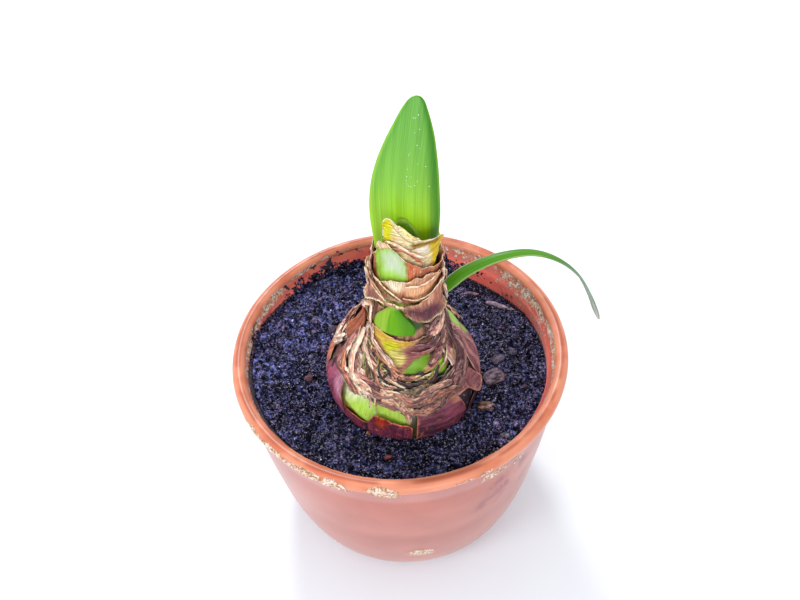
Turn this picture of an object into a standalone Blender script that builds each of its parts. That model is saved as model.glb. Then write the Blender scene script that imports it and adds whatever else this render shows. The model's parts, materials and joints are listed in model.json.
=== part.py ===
"""Potted amaryllis: a bulb half out of the soil of a clay pot, its neck wrapped in torn old leaf bases.

Lengths are in metres and written as millimetres times MM. +Z is up, the origin is the middle of the
pot's underside and -Y is the front. Places on the bulb are an angle round its axis, 0 at the front and
90 at +X, and a height along the axis from the middle of its globe.
"""
import math
import random

import bmesh
import bpy
from mathutils import Matrix, Vector, noise

MM = 0.001
GAP = 0.3 * MM
SEED = 11

# Pot: its body is (height, outer radius), and the inner wall has a row of points at each of WALL_ROWS
POT_HEIGHT = 114 * MM
RIM_RADIUS = 80 * MM
RIM_ROLL = 3 * MM
LIP_TOP = 104 * MM
BODY = [(0, 58.5), (1.2, 60.9), (4.4, 62.8), (13, 66.7), (33, 70.9), (55, 73.5), (82, 75.8), (106, 76)]
POT_WALL = 4.5 * MM
POT_FLOOR = 7 * MM
FLOOR_RADIUS = 50 * MM
FLOOR_BEND = (5 * MM, 0.8 * MM)
WALL_ROWS = (10, 15, 27, 50, 82)
OUTER_ROWS = (106, 82, 64, 46, 30, 18, 10, 4.4, 1.2)
POT_SIDES = 44
DRAIN_RADIUS = 5 * MM
DRAIN_CIRCLE = 30 * MM
DRAIN_TURNS = (30, 150, 270)

# Soil: its height at the wall by the angle from +X, its height in the middle, and the size of its lumps
SOIL_EDGE = [(-45, 100), (0, 98), (45, 92.5), (70, 95), (90, 98), (120, 100), (180, 106), (225, 106),
             (270, 104), (315, 100.5), (360, 98)]
SOIL_MIDDLE = 100.5 * MM
SOIL_FLAT_RADIUS = 38 * MM
SOIL_RINGS = 12
LUMPS = [(1.1 * MM, 10 * MM), (0.7 * MM, 4.5 * MM)]

# Bulb: the middle of its globe, its lean to +X, and the radius of its flesh as (height, radius)
GLOBE = Vector((1.4 * MM, -13.0 * MM, 108.6 * MM))
LEAN = math.radians(3)
FLESH = [(-34, 9), (-32.5, 15), (-27, 24), (-20, 30), (-10, 34.4), (0, 35.4), (4, 34.6), (8, 32.6),
         (13, 29.2), (19, 24.8), (25, 20.6), (30, 17.4), (35, 15.2), (40, 13.7), (46, 12.8), (52, 12.4),
         (60, 12.3), (72, 11.9), (80, 12.2), (90, 12.6), (98, 12.8)]
PLATE = -34 * MM
NECK_TOP = 73 * MM
BULB_SIDES = 36

# Roots: how many, how thick, and how far out and down they reach
ROOTS = 7
ROOT_RADIUS = 2 * MM
ROOT_CIRCLE = 6 * MM
ROOT_REACH = (20 * MM, 34 * MM)
ROOT_DEPTH = (34 * MM, 50 * MM)

# Skins: one thickness, and the height and angle over which a skin eases past the end of those under it
SKIN = 0.8 * MM
EASE = 8 * MM
SIDE_EASE = 14
CURL_REACH = 5 * MM
RING_STEP = 10
FLAP_STEP = 5
ROWS = [-21 + 4.5 * i for i in range(15)] + [51, 60, 69, 78, 87, 96]
CROWDED_ROW = 0.4 * MM

GREEN = (0.22, 0.55, 0.09)
YELLOW_GREEN = (0.42, 0.62, 0.12)
TAN = (0.62, 0.42, 0.27)
STRAW = (0.72, 0.58, 0.25)
RED_BROWN = (0.42, 0.15, 0.09)
PURPLE_BROWN = (0.24, 0.11, 0.13)
MAUVE = (0.45, 0.24, 0.24)

# Every skin: level from the flesh outwards, first and last angle, top edge and bottom edge as (angle, height),
# how far the top and bottom edges stand out, how ragged they are, and colour. A ring's last angle is 360 on.
SKINS = {
    "collar_inner": (0, -180, 180, [(-180, 47), (-90, 48), (0, 49), (60, 50), (120, 48), (180, 47)],
                     [(0, 33)], 0, 0, 0.6, TAN),
    "collar_top": (0, -46, 78, [(-46, 92), (-35, 97), (-25, 96.5), (-14, 93), (-4, 90), (14, 88), (40, 86.5),
                                (78, 83)],
                   [(-46, 70), (45, 70), (60, 74), (78, 79)], 0.6, 0, 0.5, STRAW),
    "collar_red": (1, -180, 180, [(-180, 76), (-140, 79), (-90, 73), (-63, 77), (-51, 84), (-37, 86), (-27, 85),
                                  (-12, 80), (5, 77), (30, 74), (60, 72), (100, 75), (140, 81), (180, 76)],
                   [(0, 58)], 0.5, 0, 0.6, RED_BROWN),
    "collar_mid": (2, -180, 180, [(-180, 68), (-120, 71), (-60, 63), (-30, 67), (0, 68), (10, 70), (50, 69),
                                  (110, 66), (180, 68)],
                   [(0, 56.5)], 0, 0, 0.7, TAN),
    "collar_band": (3, -252, 84, [(-252, 59), (-200, 62), (-150, 58), (-110, 63), (-75, 65), (-50, 62),
                                  (-38, 59), (-20, 57), (5, 56.5), (25, 59), (42, 62), (60, 65), (84, 63)],
                    [(-252, 45), (-180, 47), (-110, 46), (-75, 50), (-60, 54), (-40, 56), (-6, 55.5), (5, 49.5),
                     (25, 46.5), (50, 45.5), (84, 45)], 0.4, 0.9, 0.4, PURPLE_BROWN),
    "collar_shoulder": (1, -180, 180, [(-180, 37), (-110, 39), (-69, 37.5), (-40, 37.6), (0, 36), (30, 36.5),
                                       (60, 38), (120, 37), (180, 37)],
                        [(-180, 23), (-64, 25), (-30, 24), (10, 22), (60, 24), (120, 22), (180, 23)],
                        0, 0.7, 0.5, YELLOW_GREEN),
    "tunic_crumpled": (2, -180, 180, [(-180, 20), (-100, 21), (-26, 19.5), (0, 17.5), (30, 18), (60, 20),
                                      (120, 20), (180, 20)],
                       [(-180, 9), (-90, 9), (-30, 10), (0, 8), (90, 9), (180, 9)], 0, 0, 0.8, TAN),
    "tunic_torn": (3, -51, 4, [(-51, 17.5), (-35, 18), (-20, 18), (4, 16)],
                   [(-51, 10.5), (-41, 12), (-30, 13), (-18, 13), (-6, 10), (4, 7)], 0.4, 0.8, 0.5, TAN),
    "strip_right": (3, 46, 66, [(46, 34), (52, 40), (58, 43), (66, 42)],
                    [(46, 20), (66, 18)], 0.5, 0.3, 0.7, TAN),
    "skin_front": (4, -51, 3, [(-51, 2), (-38, 1), (-30, 0), (-24, 6), (-15, 6), (-5, 4), (3, 3)],
                   [(0, -14)], 0.3, 0, 0.5, PURPLE_BROWN),
    "flap_front": (4, 6, 48, [(6, 13), (20, 14), (32, 12), (40, 9), (44, 3), (48, -4)],
                   [(6, -14), (48, -14)], 0, 0, 0.4, RED_BROWN),
    "skin_left": (4, -85, -53, [(-85, 8), (-78, 15), (-65, 16), (-57, 12), (-53, 5)],
                  [(-85, -14), (-53, -14)], 0.4, 0, 0.5, PURPLE_BROWN),
    "skin_back_left": (4, -155, -87, [(-155, 27), (-135, 24), (-118, 22), (-106, 15), (-95, 12), (-87, 9)],
                       [(-155, -14), (-87, -14)], 0.4, 0, 0.6, MAUVE),
    "skin_back_right": (4, 130, 203, [(130, 20), (145, 27), (165, 31), (185, 25), (203, 22)],
                        [(130, -14), (203, -14)], 0.5, 0, 0.6, PURPLE_BROWN),
    "skin_right": (4, 69, 128, [(69, 20), (73, 31), (77, 41), (86, 38), (102, 31), (116, 26), (128, 22)],
                   [(69, -14), (128, -14)], 0.3, 0, 0.4, MAUVE),
    "skin_low": (4, 51, 67, [(51, 1), (57, 4), (67, 4)], [(51, -14), (67, -14)], 0.2, 0, 0.3, PURPLE_BROWN),
    "tab_right": (5, 36, 66, [(36, 15), (46, 17), (59, 15), (66, 10)], [(36, 11), (48, 10), (57, 5), (66, 7)],
                  0.4, 1.6, 0.3, RED_BROWN),
    "curl_left": (5, -104, -74, [(-104, 33), (-92, 40), (-82, 41), (-74, 35)], [(-104, 22), (-74, 22)],
                  3.2, 0, 0.5, RED_BROWN),
}

# Leaves. Upright ones are rows of (height above the ground, middle x, half width) with edges at one y, in mm.
# Each is as thick as THICK in its middle and BLADE_EDGE at its edges, and cupped by CUP.
BLADE_EDGE = 0.7 * MM
BLADE_STEPS = 8
MAIN_ROWS = [(182.4, 5.2, 12.2), (190, 5.3, 12.8), (198, 5.3, 13.2), (206, 5.4, 12.9), (214, 5.9, 12.1),
             (222, 6.8, 10.6), (230, 8.1, 8.4), (236, 9.1, 6.2), (240, 9.7, 4.5), (243, 10.2, 3.0),
             (245, 10.5, 1.5)]
MAIN_EDGE_Y = -12.8
MAIN_THICK = 3.2
MAIN_CUP = 4.2
TIP_ROWS = [(182.4, 5.6, 5.8), (188, 5.4, 5.6), (193, 5.0, 4.9), (197, 4.4, 3.6), (200, 3.9, 1.8),
            (201, 3.8, 0.9)]
TIP_EDGE_Y = -19.7
TIP_THICK = 1.6
TIP_CUP = 0.9

# The stub is rows of (height, middle angle, half angle). It stands between the shoulder collar and the band,
# so both levels make room for it.
STUB_ROWS = [(38.9, -22, 33), (42, -22, 33), (46, -22.5, 23), (50, -23, 12.5), (53, -23, 5), (54, -23, 2.5)]
STUB_SPAN = (38.9, 54)
STUB_LEVEL = 1
STUB_CROWN = 1.2 * MM

# The narrow leaf: its spine as (x, z), its half widths there, and its y, tilt and thickness from foot to tip
SIDE_SPINE = [(20.4, 154.5), (23.4, 157.8), (28, 161.8), (35, 165.8), (44, 169.0), (54, 169.9), (63, 167.4),
              (72, 161.2), (80, 151.9), (86.6, 139.9), (91, 129.7), (93.8, 122.6)]
SIDE_HALVES = [2.4, 3.0, 3.3, 3.2, 2.9, 2.6, 2.4, 2.2, 2.0, 1.6, 1.2, 0.7]
SIDE_Y = (-10 * MM, -4 * MM)
SIDE_TILT = (50, 20)
SIDE_THICK = (1.6 * MM, 0.96 * MM)
SIDE_CUP = 0.5 * MM

# Bits in the soil. Chips: place, size, turn, seed and colour; twigs: start, end, radius and colour
CHIPS = {
    "bark_chip": ((43.5, -18), (10, 7.5, 3.5), 0.4, 3, (0.3, 0.2, 0.19)),
    "wood_chip": ((37.6, -33.5), (7, 4, 2.4), -0.2, 5, (0.45, 0.25, 0.12)),
}
TWIGS = {
    "twig_long": ((48, 36), (63, 29), 1.2, (0.25, 0.17, 0.16)),
    "twig_short": ((38, 44.5), (46, 42), 1.0, (0.3, 0.2, 0.17)),
}
CHIP_TILT = 0.15
TWIG_BOW = 1.2 * MM


def clear_scene():
    for old in list(bpy.data.objects):
        bpy.data.objects.remove(old, do_unlink=True)


def new_collection(name):
    collection = bpy.data.collections.new(name)
    bpy.context.scene.collection.children.link(collection)
    return collection


def material(name, color, roughness):
    made = bpy.data.materials.get(name) or bpy.data.materials.new(name)
    made.use_nodes = True
    shader = made.node_tree.nodes["Principled BSDF"]
    shader.inputs["Base Color"].default_value = (*color, 1)
    shader.inputs["Roughness"].default_value = roughness
    shader.inputs["Metallic"].default_value = 0
    return made


def smooth(table, at):
    """The value at a place, from a table of (place, value), on a smooth curve through its points."""
    if len(table) == 1 or at <= table[0][0]:
        return table[0][1]
    if at >= table[-1][0]:
        return table[-1][1]
    right = next(i for i, (place, _) in enumerate(table) if place > at)
    left = right - 1
    width = table[right][0] - table[left][0]

    def slope(i):
        before = table[max(i - 1, 0)]
        after = table[min(i + 1, len(table) - 1)]
        return (after[1] - before[1]) / (after[0] - before[0])

    t = (at - table[left][0]) / width
    start = (2 * t**3 - 3 * t**2 + 1) * table[left][1] + (t**3 - 2 * t**2 + t) * width * slope(left)
    end = (3 * t**2 - 2 * t**3) * table[right][1] + (t**3 - t**2) * width * slope(right)
    return start + end


def range_by(step, first, last):
    """Multiples of a step, counted from first."""
    return [first + step * i for i in range(int((last - first) / step) + 1)]


def ramp(value):
    value = min(max(value, 0), 1)
    return value * value * (3 - 2 * value)


def evaluated_mesh(source):
    bpy.context.view_layer.update()
    depsgraph = bpy.context.evaluated_depsgraph_get()
    return bpy.data.meshes.new_from_object(source.evaluated_get(depsgraph))


def place_object(name, mesh, finish, collection):
    placed = bpy.data.objects.new(name, mesh)
    collection.objects.link(placed)
    mesh.materials.clear()
    mesh.materials.append(finish)
    mesh.shade_smooth()
    mesh.set_sharp_from_angle(angle=math.radians(40))
    return placed


def turned_mesh(profile, sides):
    """A profile of (radius, height) turned round Z, from its inner end, over the top, to its outer end."""
    mesh = bpy.data.meshes.new("profile")
    points = [(radius, 0, height) for radius, height in profile]
    mesh.from_pydata(points, [(i, i + 1) for i in range(len(points) - 1)], [])
    guide = bpy.data.objects.new("profile", mesh)
    bpy.context.scene.collection.objects.link(guide)
    screw = guide.modifiers.new("turn", "SCREW")
    screw.steps = sides
    screw.render_steps = sides
    screw.use_merge_vertices = True
    screw.merge_threshold = 0.00001
    turned = evaluated_mesh(guide)
    bpy.data.objects.remove(guide, do_unlink=True)
    return turned


def tube_mesh(points, radii, resolution):
    """A closed tube along points, as a mesh with welded caps."""
    curve = bpy.data.curves.new("tube", "CURVE")
    curve.dimensions = "3D"
    curve.bevel_depth = 1
    curve.bevel_resolution = resolution
    curve.use_fill_caps = True
    spline = curve.splines.new("POLY")
    spline.points.add(len(points) - 1)
    for knot, point, radius in zip(spline.points, points, radii):
        knot.co = (*point, 1)
        knot.radius = radius
    guide = bpy.data.objects.new("tube", curve)
    bpy.context.scene.collection.objects.link(guide)
    mesh = evaluated_mesh(guide)
    bpy.data.objects.remove(guide, do_unlink=True)
    work = bmesh.new()
    work.from_mesh(mesh)
    bmesh.ops.remove_doubles(work, verts=work.verts, dist=0.00001)
    bmesh.ops.recalc_face_normals(work, faces=work.faces)
    work.to_mesh(mesh)
    work.free()
    return mesh


def cutter(name, mesh, collection):
    made = bpy.data.objects.new(name, mesh)
    collection.objects.link(made)
    made.hide_render = True
    made.display_type = "WIRE"
    return made


def boolean(target, operation, collection):
    change = target.modifiers.new(operation.lower(), "BOOLEAN")
    change.operation = operation
    change.operand_type = "COLLECTION"
    change.collection = collection
    change.solver = "EXACT"


def wall_radius(height):
    return smooth(BODY, height / MM) * MM


def pot_profile():
    """Inner floor, inner wall, rim roll, outer wall and underside."""
    bend = (FLOOR_RADIUS + FLOOR_BEND[0], POT_FLOOR + FLOOR_BEND[1])
    inner = [(0, POT_FLOOR), (FLOOR_RADIUS, POT_FLOOR), bend]
    inner += [(wall_radius(z * MM) - POT_WALL, z * MM) for z in WALL_ROWS]
    inner.append((wall_radius(LIP_TOP) - POT_WALL, LIP_TOP))
    middle = (RIM_RADIUS - RIM_ROLL, POT_HEIGHT - RIM_ROLL)
    roll = []
    for turn in range(205, -76, -40):
        angle = math.radians(turn)
        roll.append((middle[0] + RIM_ROLL * math.cos(angle), middle[1] + RIM_ROLL * math.sin(angle)))
    outer = [(wall_radius(z * MM), z * MM) for z in OUTER_ROWS]
    return inner + roll + outer + [(BODY[0][1] * MM, 0), (0, 0)]


def make_pot(parts, cutters):
    clay = material("glazed_clay", (0.72, 0.32, 0.24), 0.3)
    pot = place_object("pot", turned_mesh(pot_profile(), POT_SIDES), clay, parts)
    for turn in DRAIN_TURNS:
        hole = bpy.data.meshes.new("drain")
        work = bmesh.new()
        bmesh.ops.create_cone(work, cap_ends=True, segments=12, radius1=DRAIN_RADIUS, radius2=DRAIN_RADIUS,
                              depth=3 * POT_FLOOR)
        work.to_mesh(hole)
        work.free()
        angle = math.radians(turn)
        drain = cutter("drain", hole, cutters)
        drain.location = (DRAIN_CIRCLE * math.cos(angle), DRAIN_CIRCLE * math.sin(angle), 0)
    boolean(pot, "DIFFERENCE", cutters)


def lumps(x, y):
    return sum(tall * noise.noise(Vector((x / wide, y / wide, wide / MM))) for tall, wide in LUMPS)


def soil_height(x, y):
    edge = smooth(SOIL_EDGE, math.degrees(math.atan2(y, x)) % 360) * MM
    out = ramp((math.hypot(x, y) - SOIL_FLAT_RADIUS) / (wall_radius(LIP_TOP) - SOIL_FLAT_RADIUS))
    return SOIL_MIDDLE + (edge - SOIL_MIDDLE) * out + lumps(x, y)


def soil_profile():
    wall = [(wall_radius(z * MM) - POT_WALL - GAP, z * MM) for z in WALL_ROWS[::-1]]
    top_radius = wall_radius(LIP_TOP) - POT_WALL - GAP
    top = [(top_radius * i / SOIL_RINGS, SOIL_MIDDLE) for i in range(SOIL_RINGS + 1)]
    floor = POT_FLOOR + GAP
    bend = (FLOOR_RADIUS + FLOOR_BEND[0] - GAP, floor + FLOOR_BEND[1])
    return top + wall + [bend, (FLOOR_RADIUS, floor), (0, floor)]


def make_soil(parts, cutters):
    mesh = turned_mesh(soil_profile(), POT_SIDES)
    for vertex in mesh.vertices:
        if vertex.co.z > SOIL_MIDDLE - MM:
            vertex.co.z = soil_height(vertex.co.x, vertex.co.y)
    soil = place_object("soil", mesh, material("soil", (0.02, 0.018, 0.025), 0.95), parts)
    boolean(soil, "DIFFERENCE", cutters)


def flesh_radius(height):
    return smooth(FLESH, height / MM) * MM


def wobble(angle, height):
    """The bulb is not quite round: how far its surface stands out, the same for every layer."""
    turn = math.radians(angle)
    size = flesh_radius(height) / (36 * MM)
    return size * MM * (0.5 * math.sin(2 * turn + 0.6) + 0.35 * math.sin(3 * turn - height / (9 * MM)))


def plant_frame():
    return Matrix.Translation(GLOBE) @ Matrix.Rotation(LEAN, 4, "Y")


def off_flesh(height, lift):
    """Radius and height of a point a distance, lift, off the flesh, measured square to it."""
    step = 0.5 * MM
    slope = (flesh_radius(height + step) - flesh_radius(height - step)) / (2 * step)
    length = math.hypot(1, slope)
    return flesh_radius(height) + lift / length, height - lift * slope / length


def plant_point(angle, height, lift):
    radius, up = off_flesh(height, lift)
    radius += wobble(angle, height)
    turn = math.radians(angle)
    return plant_frame() @ Vector((radius * math.sin(turn), -radius * math.cos(turn), up))


def within(value, low, high, ease):
    """1 inside a span, easing to 0 outside it."""
    return ramp((value - low) / ease + 1) * ramp((high - value) / ease + 1)


def cover(name, angle, height):
    """How far a skin counts as lying under a place."""
    _, first, last, top, bottom, *_ = SKINS[name]
    spanned = within(height, min(h for _, h in bottom) * MM, max(h for _, h in top) * MM, EASE)
    if last - first >= 300:
        return spanned
    away = (angle - (first + last) / 2 + 180) % 360 - 180
    return spanned * within(away, (first - last) / 2, (last - first) / 2, SIDE_EASE)


def level_lift(level, angle, height):
    """How far off the flesh a level's inner face lies, over the levels that are under it at this place."""
    lift = GAP
    for under in range(level):
        covers = [cover(name, angle, height) for name in SKINS if SKINS[name][0] == under]
        if under == STUB_LEVEL:
            covers.append(within(height, STUB_SPAN[0] * MM, STUB_SPAN[1] * MM, EASE))
        lift += (SKIN + GAP) * max(covers)
    return lift


def ragged(angle, amount, seed):
    near = noise.noise(Vector((angle / 11, seed, 0.5)))
    fine = noise.noise(Vector((angle / 4.3, seed, 7.5)))
    return amount * (near + 0.6 * fine)


def make_skin(name, parts):
    """One old leaf base: an open sheet over the flesh, thickened outwards."""
    level, first, last, top, bottom, flare_top, flare_bottom, rag, color = SKINS[name]
    seed = list(SKINS).index(name) * 3.7
    closed = last - first >= 360
    step = RING_STEP if last - first >= 300 else FLAP_STEP
    angles = [first] + [a for a in range_by(step, -360, 360) if first + 1 < a < last - 1] + [last]
    if closed:
        angles = angles[:-1]
    levels = [h * MM for h in ROWS if min(b for _, b in bottom) < h < max(t for _, t in top)]
    rows = len(levels) + 1
    work = bmesh.new()
    grid = []
    for angle in angles:
        high = (smooth(top, angle) + ragged(angle % 360, rag, seed)) * MM
        low = smooth(bottom, angle) * MM
        line = []
        for row, level_row in enumerate([low] + levels + [high]):
            height = max(min(level_row, high - (rows - row) * CROWDED_ROW), low + row * CROWDED_ROW)
            lift = level_lift(level, angle, height)
            lift += flare_top * MM * ramp((height - high) / CURL_REACH + 1) ** 2
            lift += flare_bottom * MM * ramp((low - height) / CURL_REACH + 1) ** 2
            line.append(work.verts.new(plant_point(angle, height, lift)))
        grid.append(line)
    for column in range(len(grid) if closed else len(grid) - 1):
        here, there = grid[column], grid[(column + 1) % len(grid)]
        for row in range(rows):
            work.faces.new((here[row], there[row], there[row + 1], here[row + 1]))
    mesh = bpy.data.meshes.new(name)
    work.to_mesh(mesh)
    work.free()
    skin = place_object(name, mesh, material(name, color, 0.7), parts)
    thick = skin.modifiers.new("thickness", "SOLIDIFY")
    thick.thickness = SKIN
    thick.offset = 1
    thick.use_even_offset = True


def root_paths():
    """Thick roots that leave the basal plate and spread down through the soil."""
    draw = random.Random(SEED)
    paths = []
    for count in range(ROOTS):
        turn = 2 * math.pi * (count + draw.uniform(-0.2, 0.2)) / ROOTS
        reach = draw.uniform(*ROOT_REACH)
        depth = draw.uniform(*ROOT_DEPTH)
        foot = Vector((ROOT_CIRCLE * math.cos(turn), ROOT_CIRCLE * math.sin(turn), PLATE + 1.5 * ROOT_RADIUS))
        start = GLOBE + foot
        points = []
        for t in (0, 0.2, 0.4, 0.6, 0.8, 1):
            swing = turn + 0.5 * math.sin(3 * t + count)
            out = reach * t**0.8
            points.append(start + Vector((out * math.cos(swing), out * math.sin(swing), -depth * t**1.3)))
        paths.append(points)
    return paths


def root_mesh(points, extra):
    radii = [ROOT_RADIUS * (1 - 0.5 * i / (len(points) - 1)) + extra for i in range(len(points))]
    if extra:
        points = points[:-1] + [points[-1] + (points[-1] - points[-2]).normalized() * extra]
    return tube_mesh(points, radii, 0)


def bulb_mesh(low, high, lift, sides):
    """The flesh from one height to another, its surface moved out by lift(height)."""
    rows = [h * MM for h in ROWS if low / MM + 1 < h < high / MM - 1]
    base = [low, low + 1.5 * MM, low + 5 * MM, low + 9 * MM]
    heights = [high] + [h for h in reversed(rows) if h > base[-1] + MM] + base[::-1]
    profile = [off_flesh(h, lift(h)) for h in heights]
    profile = [(0, profile[0][1])] + profile + [(0, profile[-1][1])]
    mesh = turned_mesh(profile, sides)
    for vertex in mesh.vertices:
        radius = math.hypot(vertex.co.x, vertex.co.y)
        if radius < MM:
            continue
        angle = math.degrees(math.atan2(vertex.co.x, -vertex.co.y))
        stretch = 1 + wobble(angle, vertex.co.z) / radius
        vertex.co.x *= stretch
        vertex.co.y *= stretch
    mesh.transform(plant_frame())
    return mesh


def make_bulb(parts, roots, soil_cutters):
    for points in root_paths():
        cutter("root", root_mesh(points, 0), roots)
        cutter("root_room", root_mesh(points, GAP + 0.1 * MM), soil_cutters)
    flesh = bulb_mesh(PLATE, NECK_TOP, lambda h: 0, BULB_SIDES)
    bulb = place_object("bulb", flesh, material("bulb_flesh", YELLOW_GREEN, 0.45), parts)
    boolean(bulb, "UNION", roots)
    whole = evaluated_mesh(bulb)
    bulb.modifiers.clear()
    bulb.data = whole
    for root in list(roots.objects):
        bpy.data.objects.remove(root, do_unlink=True)


def make_bulb_room(soil_cutters):
    """The hole in the soil: close round the flesh, wider where the outer skins reach down."""
    skins_end = -16 * MM

    def lift(height):
        return GAP + (SKIN + 2 * GAP) * ramp((height - skins_end) / (2 * MM) + 1)

    room = bulb_mesh(PLATE, 14 * MM, lift, BULB_SIDES)
    cutter("bulb_room", room, soil_cutters)


def loft_mesh(rings):
    """A closed solid through rings of points, each a row on one side and then the same row back on the other."""
    work = bmesh.new()
    rings = [[work.verts.new(point) for point in ring] for ring in rings]
    size = len(rings[0])
    for here, there in zip(rings, rings[1:]):
        for i in range(size):
            work.faces.new((here[i], here[(i + 1) % size], there[(i + 1) % size], there[i]))
    for ring in (rings[0], rings[-1]):
        for i in range(size // 2 - 1):
            work.faces.new((ring[i], ring[i + 1], ring[size - 2 - i], ring[size - 1 - i]))
    bmesh.ops.recalc_face_normals(work, faces=work.faces)
    mesh = bpy.data.meshes.new("blade")
    work.to_mesh(mesh)
    work.free()
    return mesh


def across_blade():
    """Places across a blade, from -1 to 1."""
    return [2 * i / BLADE_STEPS - 1 for i in range(BLADE_STEPS + 1)]


def blade_mesh(sections):
    """A leaf blade lofted through sections: (middle, across, out, half width, thickness, cup). Across and out
    are unit vectors, out is the side that bulges, and cup is how far the edges lie behind the middle."""
    rings = []
    for middle, across, out, half, thick, cup in sections:
        ring = []
        for side in (1, -1):
            for step in across_blade():
                u = side * step
                body = BLADE_EDGE + (thick - BLADE_EDGE) * (1 - u * u)
                ring.append(middle + across * (u * half) + out * (side * body / 2 - cup * u * u))
        rings.append(ring)
    return loft_mesh(rings)


def upright_leaf(name, parts, rows, edge_y, thick, cup):
    widest = max(half for _, _, half in rows)
    sections = []
    for z, x, half in rows:
        narrow = half / widest
        bulge = cup * narrow**2
        middle = Vector((x * MM, (edge_y - bulge) * MM, z * MM))
        sections.append((middle, Vector((1, 0, 0)), Vector((0, -1, 0)), half * MM,
                         max(thick * MM * narrow**0.5, BLADE_EDGE), bulge * MM))
    place_object(name, blade_mesh(sections), material(name, GREEN, 0.35), parts)


def make_leaf_stub(parts):
    """The short leaf on the front of the neck, bent round it over the inner collar."""
    clear = SKIN + 2 * GAP
    rings = []
    for height, middle, half in STUB_ROWS:
        ring = [plant_point(middle + u * half, height * MM, clear) for u in across_blade()]
        for u in reversed(across_blade()):
            lift = clear + BLADE_EDGE + STUB_CROWN * (1 - u * u)
            ring.append(plant_point(middle + u * half, height * MM, lift))
        rings.append(ring)
    place_object("leaf_stub", loft_mesh(rings), material("leaf_stub", GREEN, 0.35), parts)


def between(ends, share):
    return ends[0] + (ends[1] - ends[0]) * share


def make_leaf_side(parts):
    """The narrow leaf: its foot stands in the gap of the band collar, and it arches out over the rim."""
    last = len(SIDE_SPINE) - 1
    sections = []
    for i, ((x, z), half) in enumerate(zip(SIDE_SPINE, SIDE_HALVES)):
        before, after = SIDE_SPINE[max(i - 1, 0)], SIDE_SPINE[min(i + 1, last)]
        along = Vector((after[0] - before[0], 0, after[1] - before[1])).normalized()
        tilt = math.radians(between(SIDE_TILT, i / last))
        up = Vector((-along.z, 0, along.x))
        across = (Vector((0, 1, 0)) * math.cos(tilt) + up * math.sin(tilt)).normalized()
        out = along.cross(across).normalized()
        middle = Vector((x * MM, between(SIDE_Y, i / last), z * MM))
        sections.append((middle, across, out, half * MM, between(SIDE_THICK, i / last),
                         SIDE_CUP * half / max(SIDE_HALVES)))
    place_object("leaf_side", blade_mesh(sections), material("leaf_side", GREEN, 0.35), parts)


def chip_mesh(size, seed):
    """A worn flake: a block whose corners are moved a little."""
    draw = random.Random(seed)
    mesh = bpy.data.meshes.new("chip")
    work = bmesh.new()
    bmesh.ops.create_cube(work, size=1)
    for vertex in work.verts:
        vertex.co = Vector([c * s * draw.uniform(0.75, 1.1) for c, s in zip(vertex.co, size)])
    bmesh.ops.bevel(work, geom=work.edges[:] + work.verts[:], offset=0.12 * min(size), segments=1, affect="EDGES")
    work.to_mesh(mesh)
    work.free()
    return mesh


def make_chip(name, parts, soil_cutters):
    (x, y), size, turn, seed, color = CHIPS[name]
    size = [side * MM for side in size]
    mesh = chip_mesh(size, seed)
    low = soil_height(x * MM, y * MM)
    place = Matrix.Translation((x * MM, y * MM, low + 0.15 * size[2])) @ Matrix.Rotation(turn, 4, "Z")
    place = place @ Matrix.Rotation(CHIP_TILT, 4, "X")
    room = mesh.copy()
    room.transform(Matrix.Diagonal([1 + 2.6 * GAP / side for side in size] + [1]))
    for shape in (mesh, room):
        shape.transform(place)
    place_object(name, mesh, material(name, color, 0.8), parts)
    cutter(name + "_room", room, soil_cutters)


def make_twig(name, parts, soil_cutters):
    start, end, radius, color = TWIGS[name]
    radius *= MM
    points = []
    for t in (0, 0.2, 0.4, 0.6, 0.8, 1):
        x = between((start[0], end[0]), t) * MM
        y = between((start[1], end[1]), t) * MM + TWIG_BOW * math.sin(math.pi * t)
        points.append(Vector((x, y, soil_height(x, y) + 0.2 * radius)))
    spare = 1.3 * GAP
    foot = points[0] + (points[0] - points[1]).normalized() * spare
    tip = points[-1] + (points[-1] - points[-2]).normalized() * spare
    longer = [foot] + points + [tip]
    place_object(name, tube_mesh(points, [radius] * len(points), 1), material(name, color, 0.8), parts)
    cutter(name + "_room", tube_mesh(longer, [radius + spare] * len(longer), 1), soil_cutters)


def main():
    clear_scene()
    parts = new_collection("potted_amaryllis")
    drains = new_collection("drain_cutters")
    roots = new_collection("roots")
    soil_cutters = new_collection("soil_cutters")
    make_pot(parts, drains)
    make_bulb(parts, roots, soil_cutters)
    make_bulb_room(soil_cutters)
    for name in SKINS:
        make_skin(name, parts)
    upright_leaf("leaf_main", parts, MAIN_ROWS, MAIN_EDGE_Y, MAIN_THICK, MAIN_CUP)
    upright_leaf("leaf_inner", parts, TIP_ROWS, TIP_EDGE_Y, TIP_THICK, TIP_CUP)
    make_leaf_stub(parts)
    make_leaf_side(parts)
    for name in CHIPS:
        make_chip(name, parts, soil_cutters)
    for name in TWIGS:
        make_twig(name, parts, soil_cutters)
    make_soil(parts, soil_cutters)


main()
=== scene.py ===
"""Looks of the potted amaryllis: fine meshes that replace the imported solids, and the finish of every surface.

Lengths are in metres and written as millimetres times MM. Places on the bulb are an angle round its axis,
0 at the front and 90 at +X, and a height along the axis from the middle of its globe, as in the source
of the part.
"""
import itertools
import json
import math
import random

import bmesh
import bpy
import numpy as np
from mathutils import Matrix, Vector, noise


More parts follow.
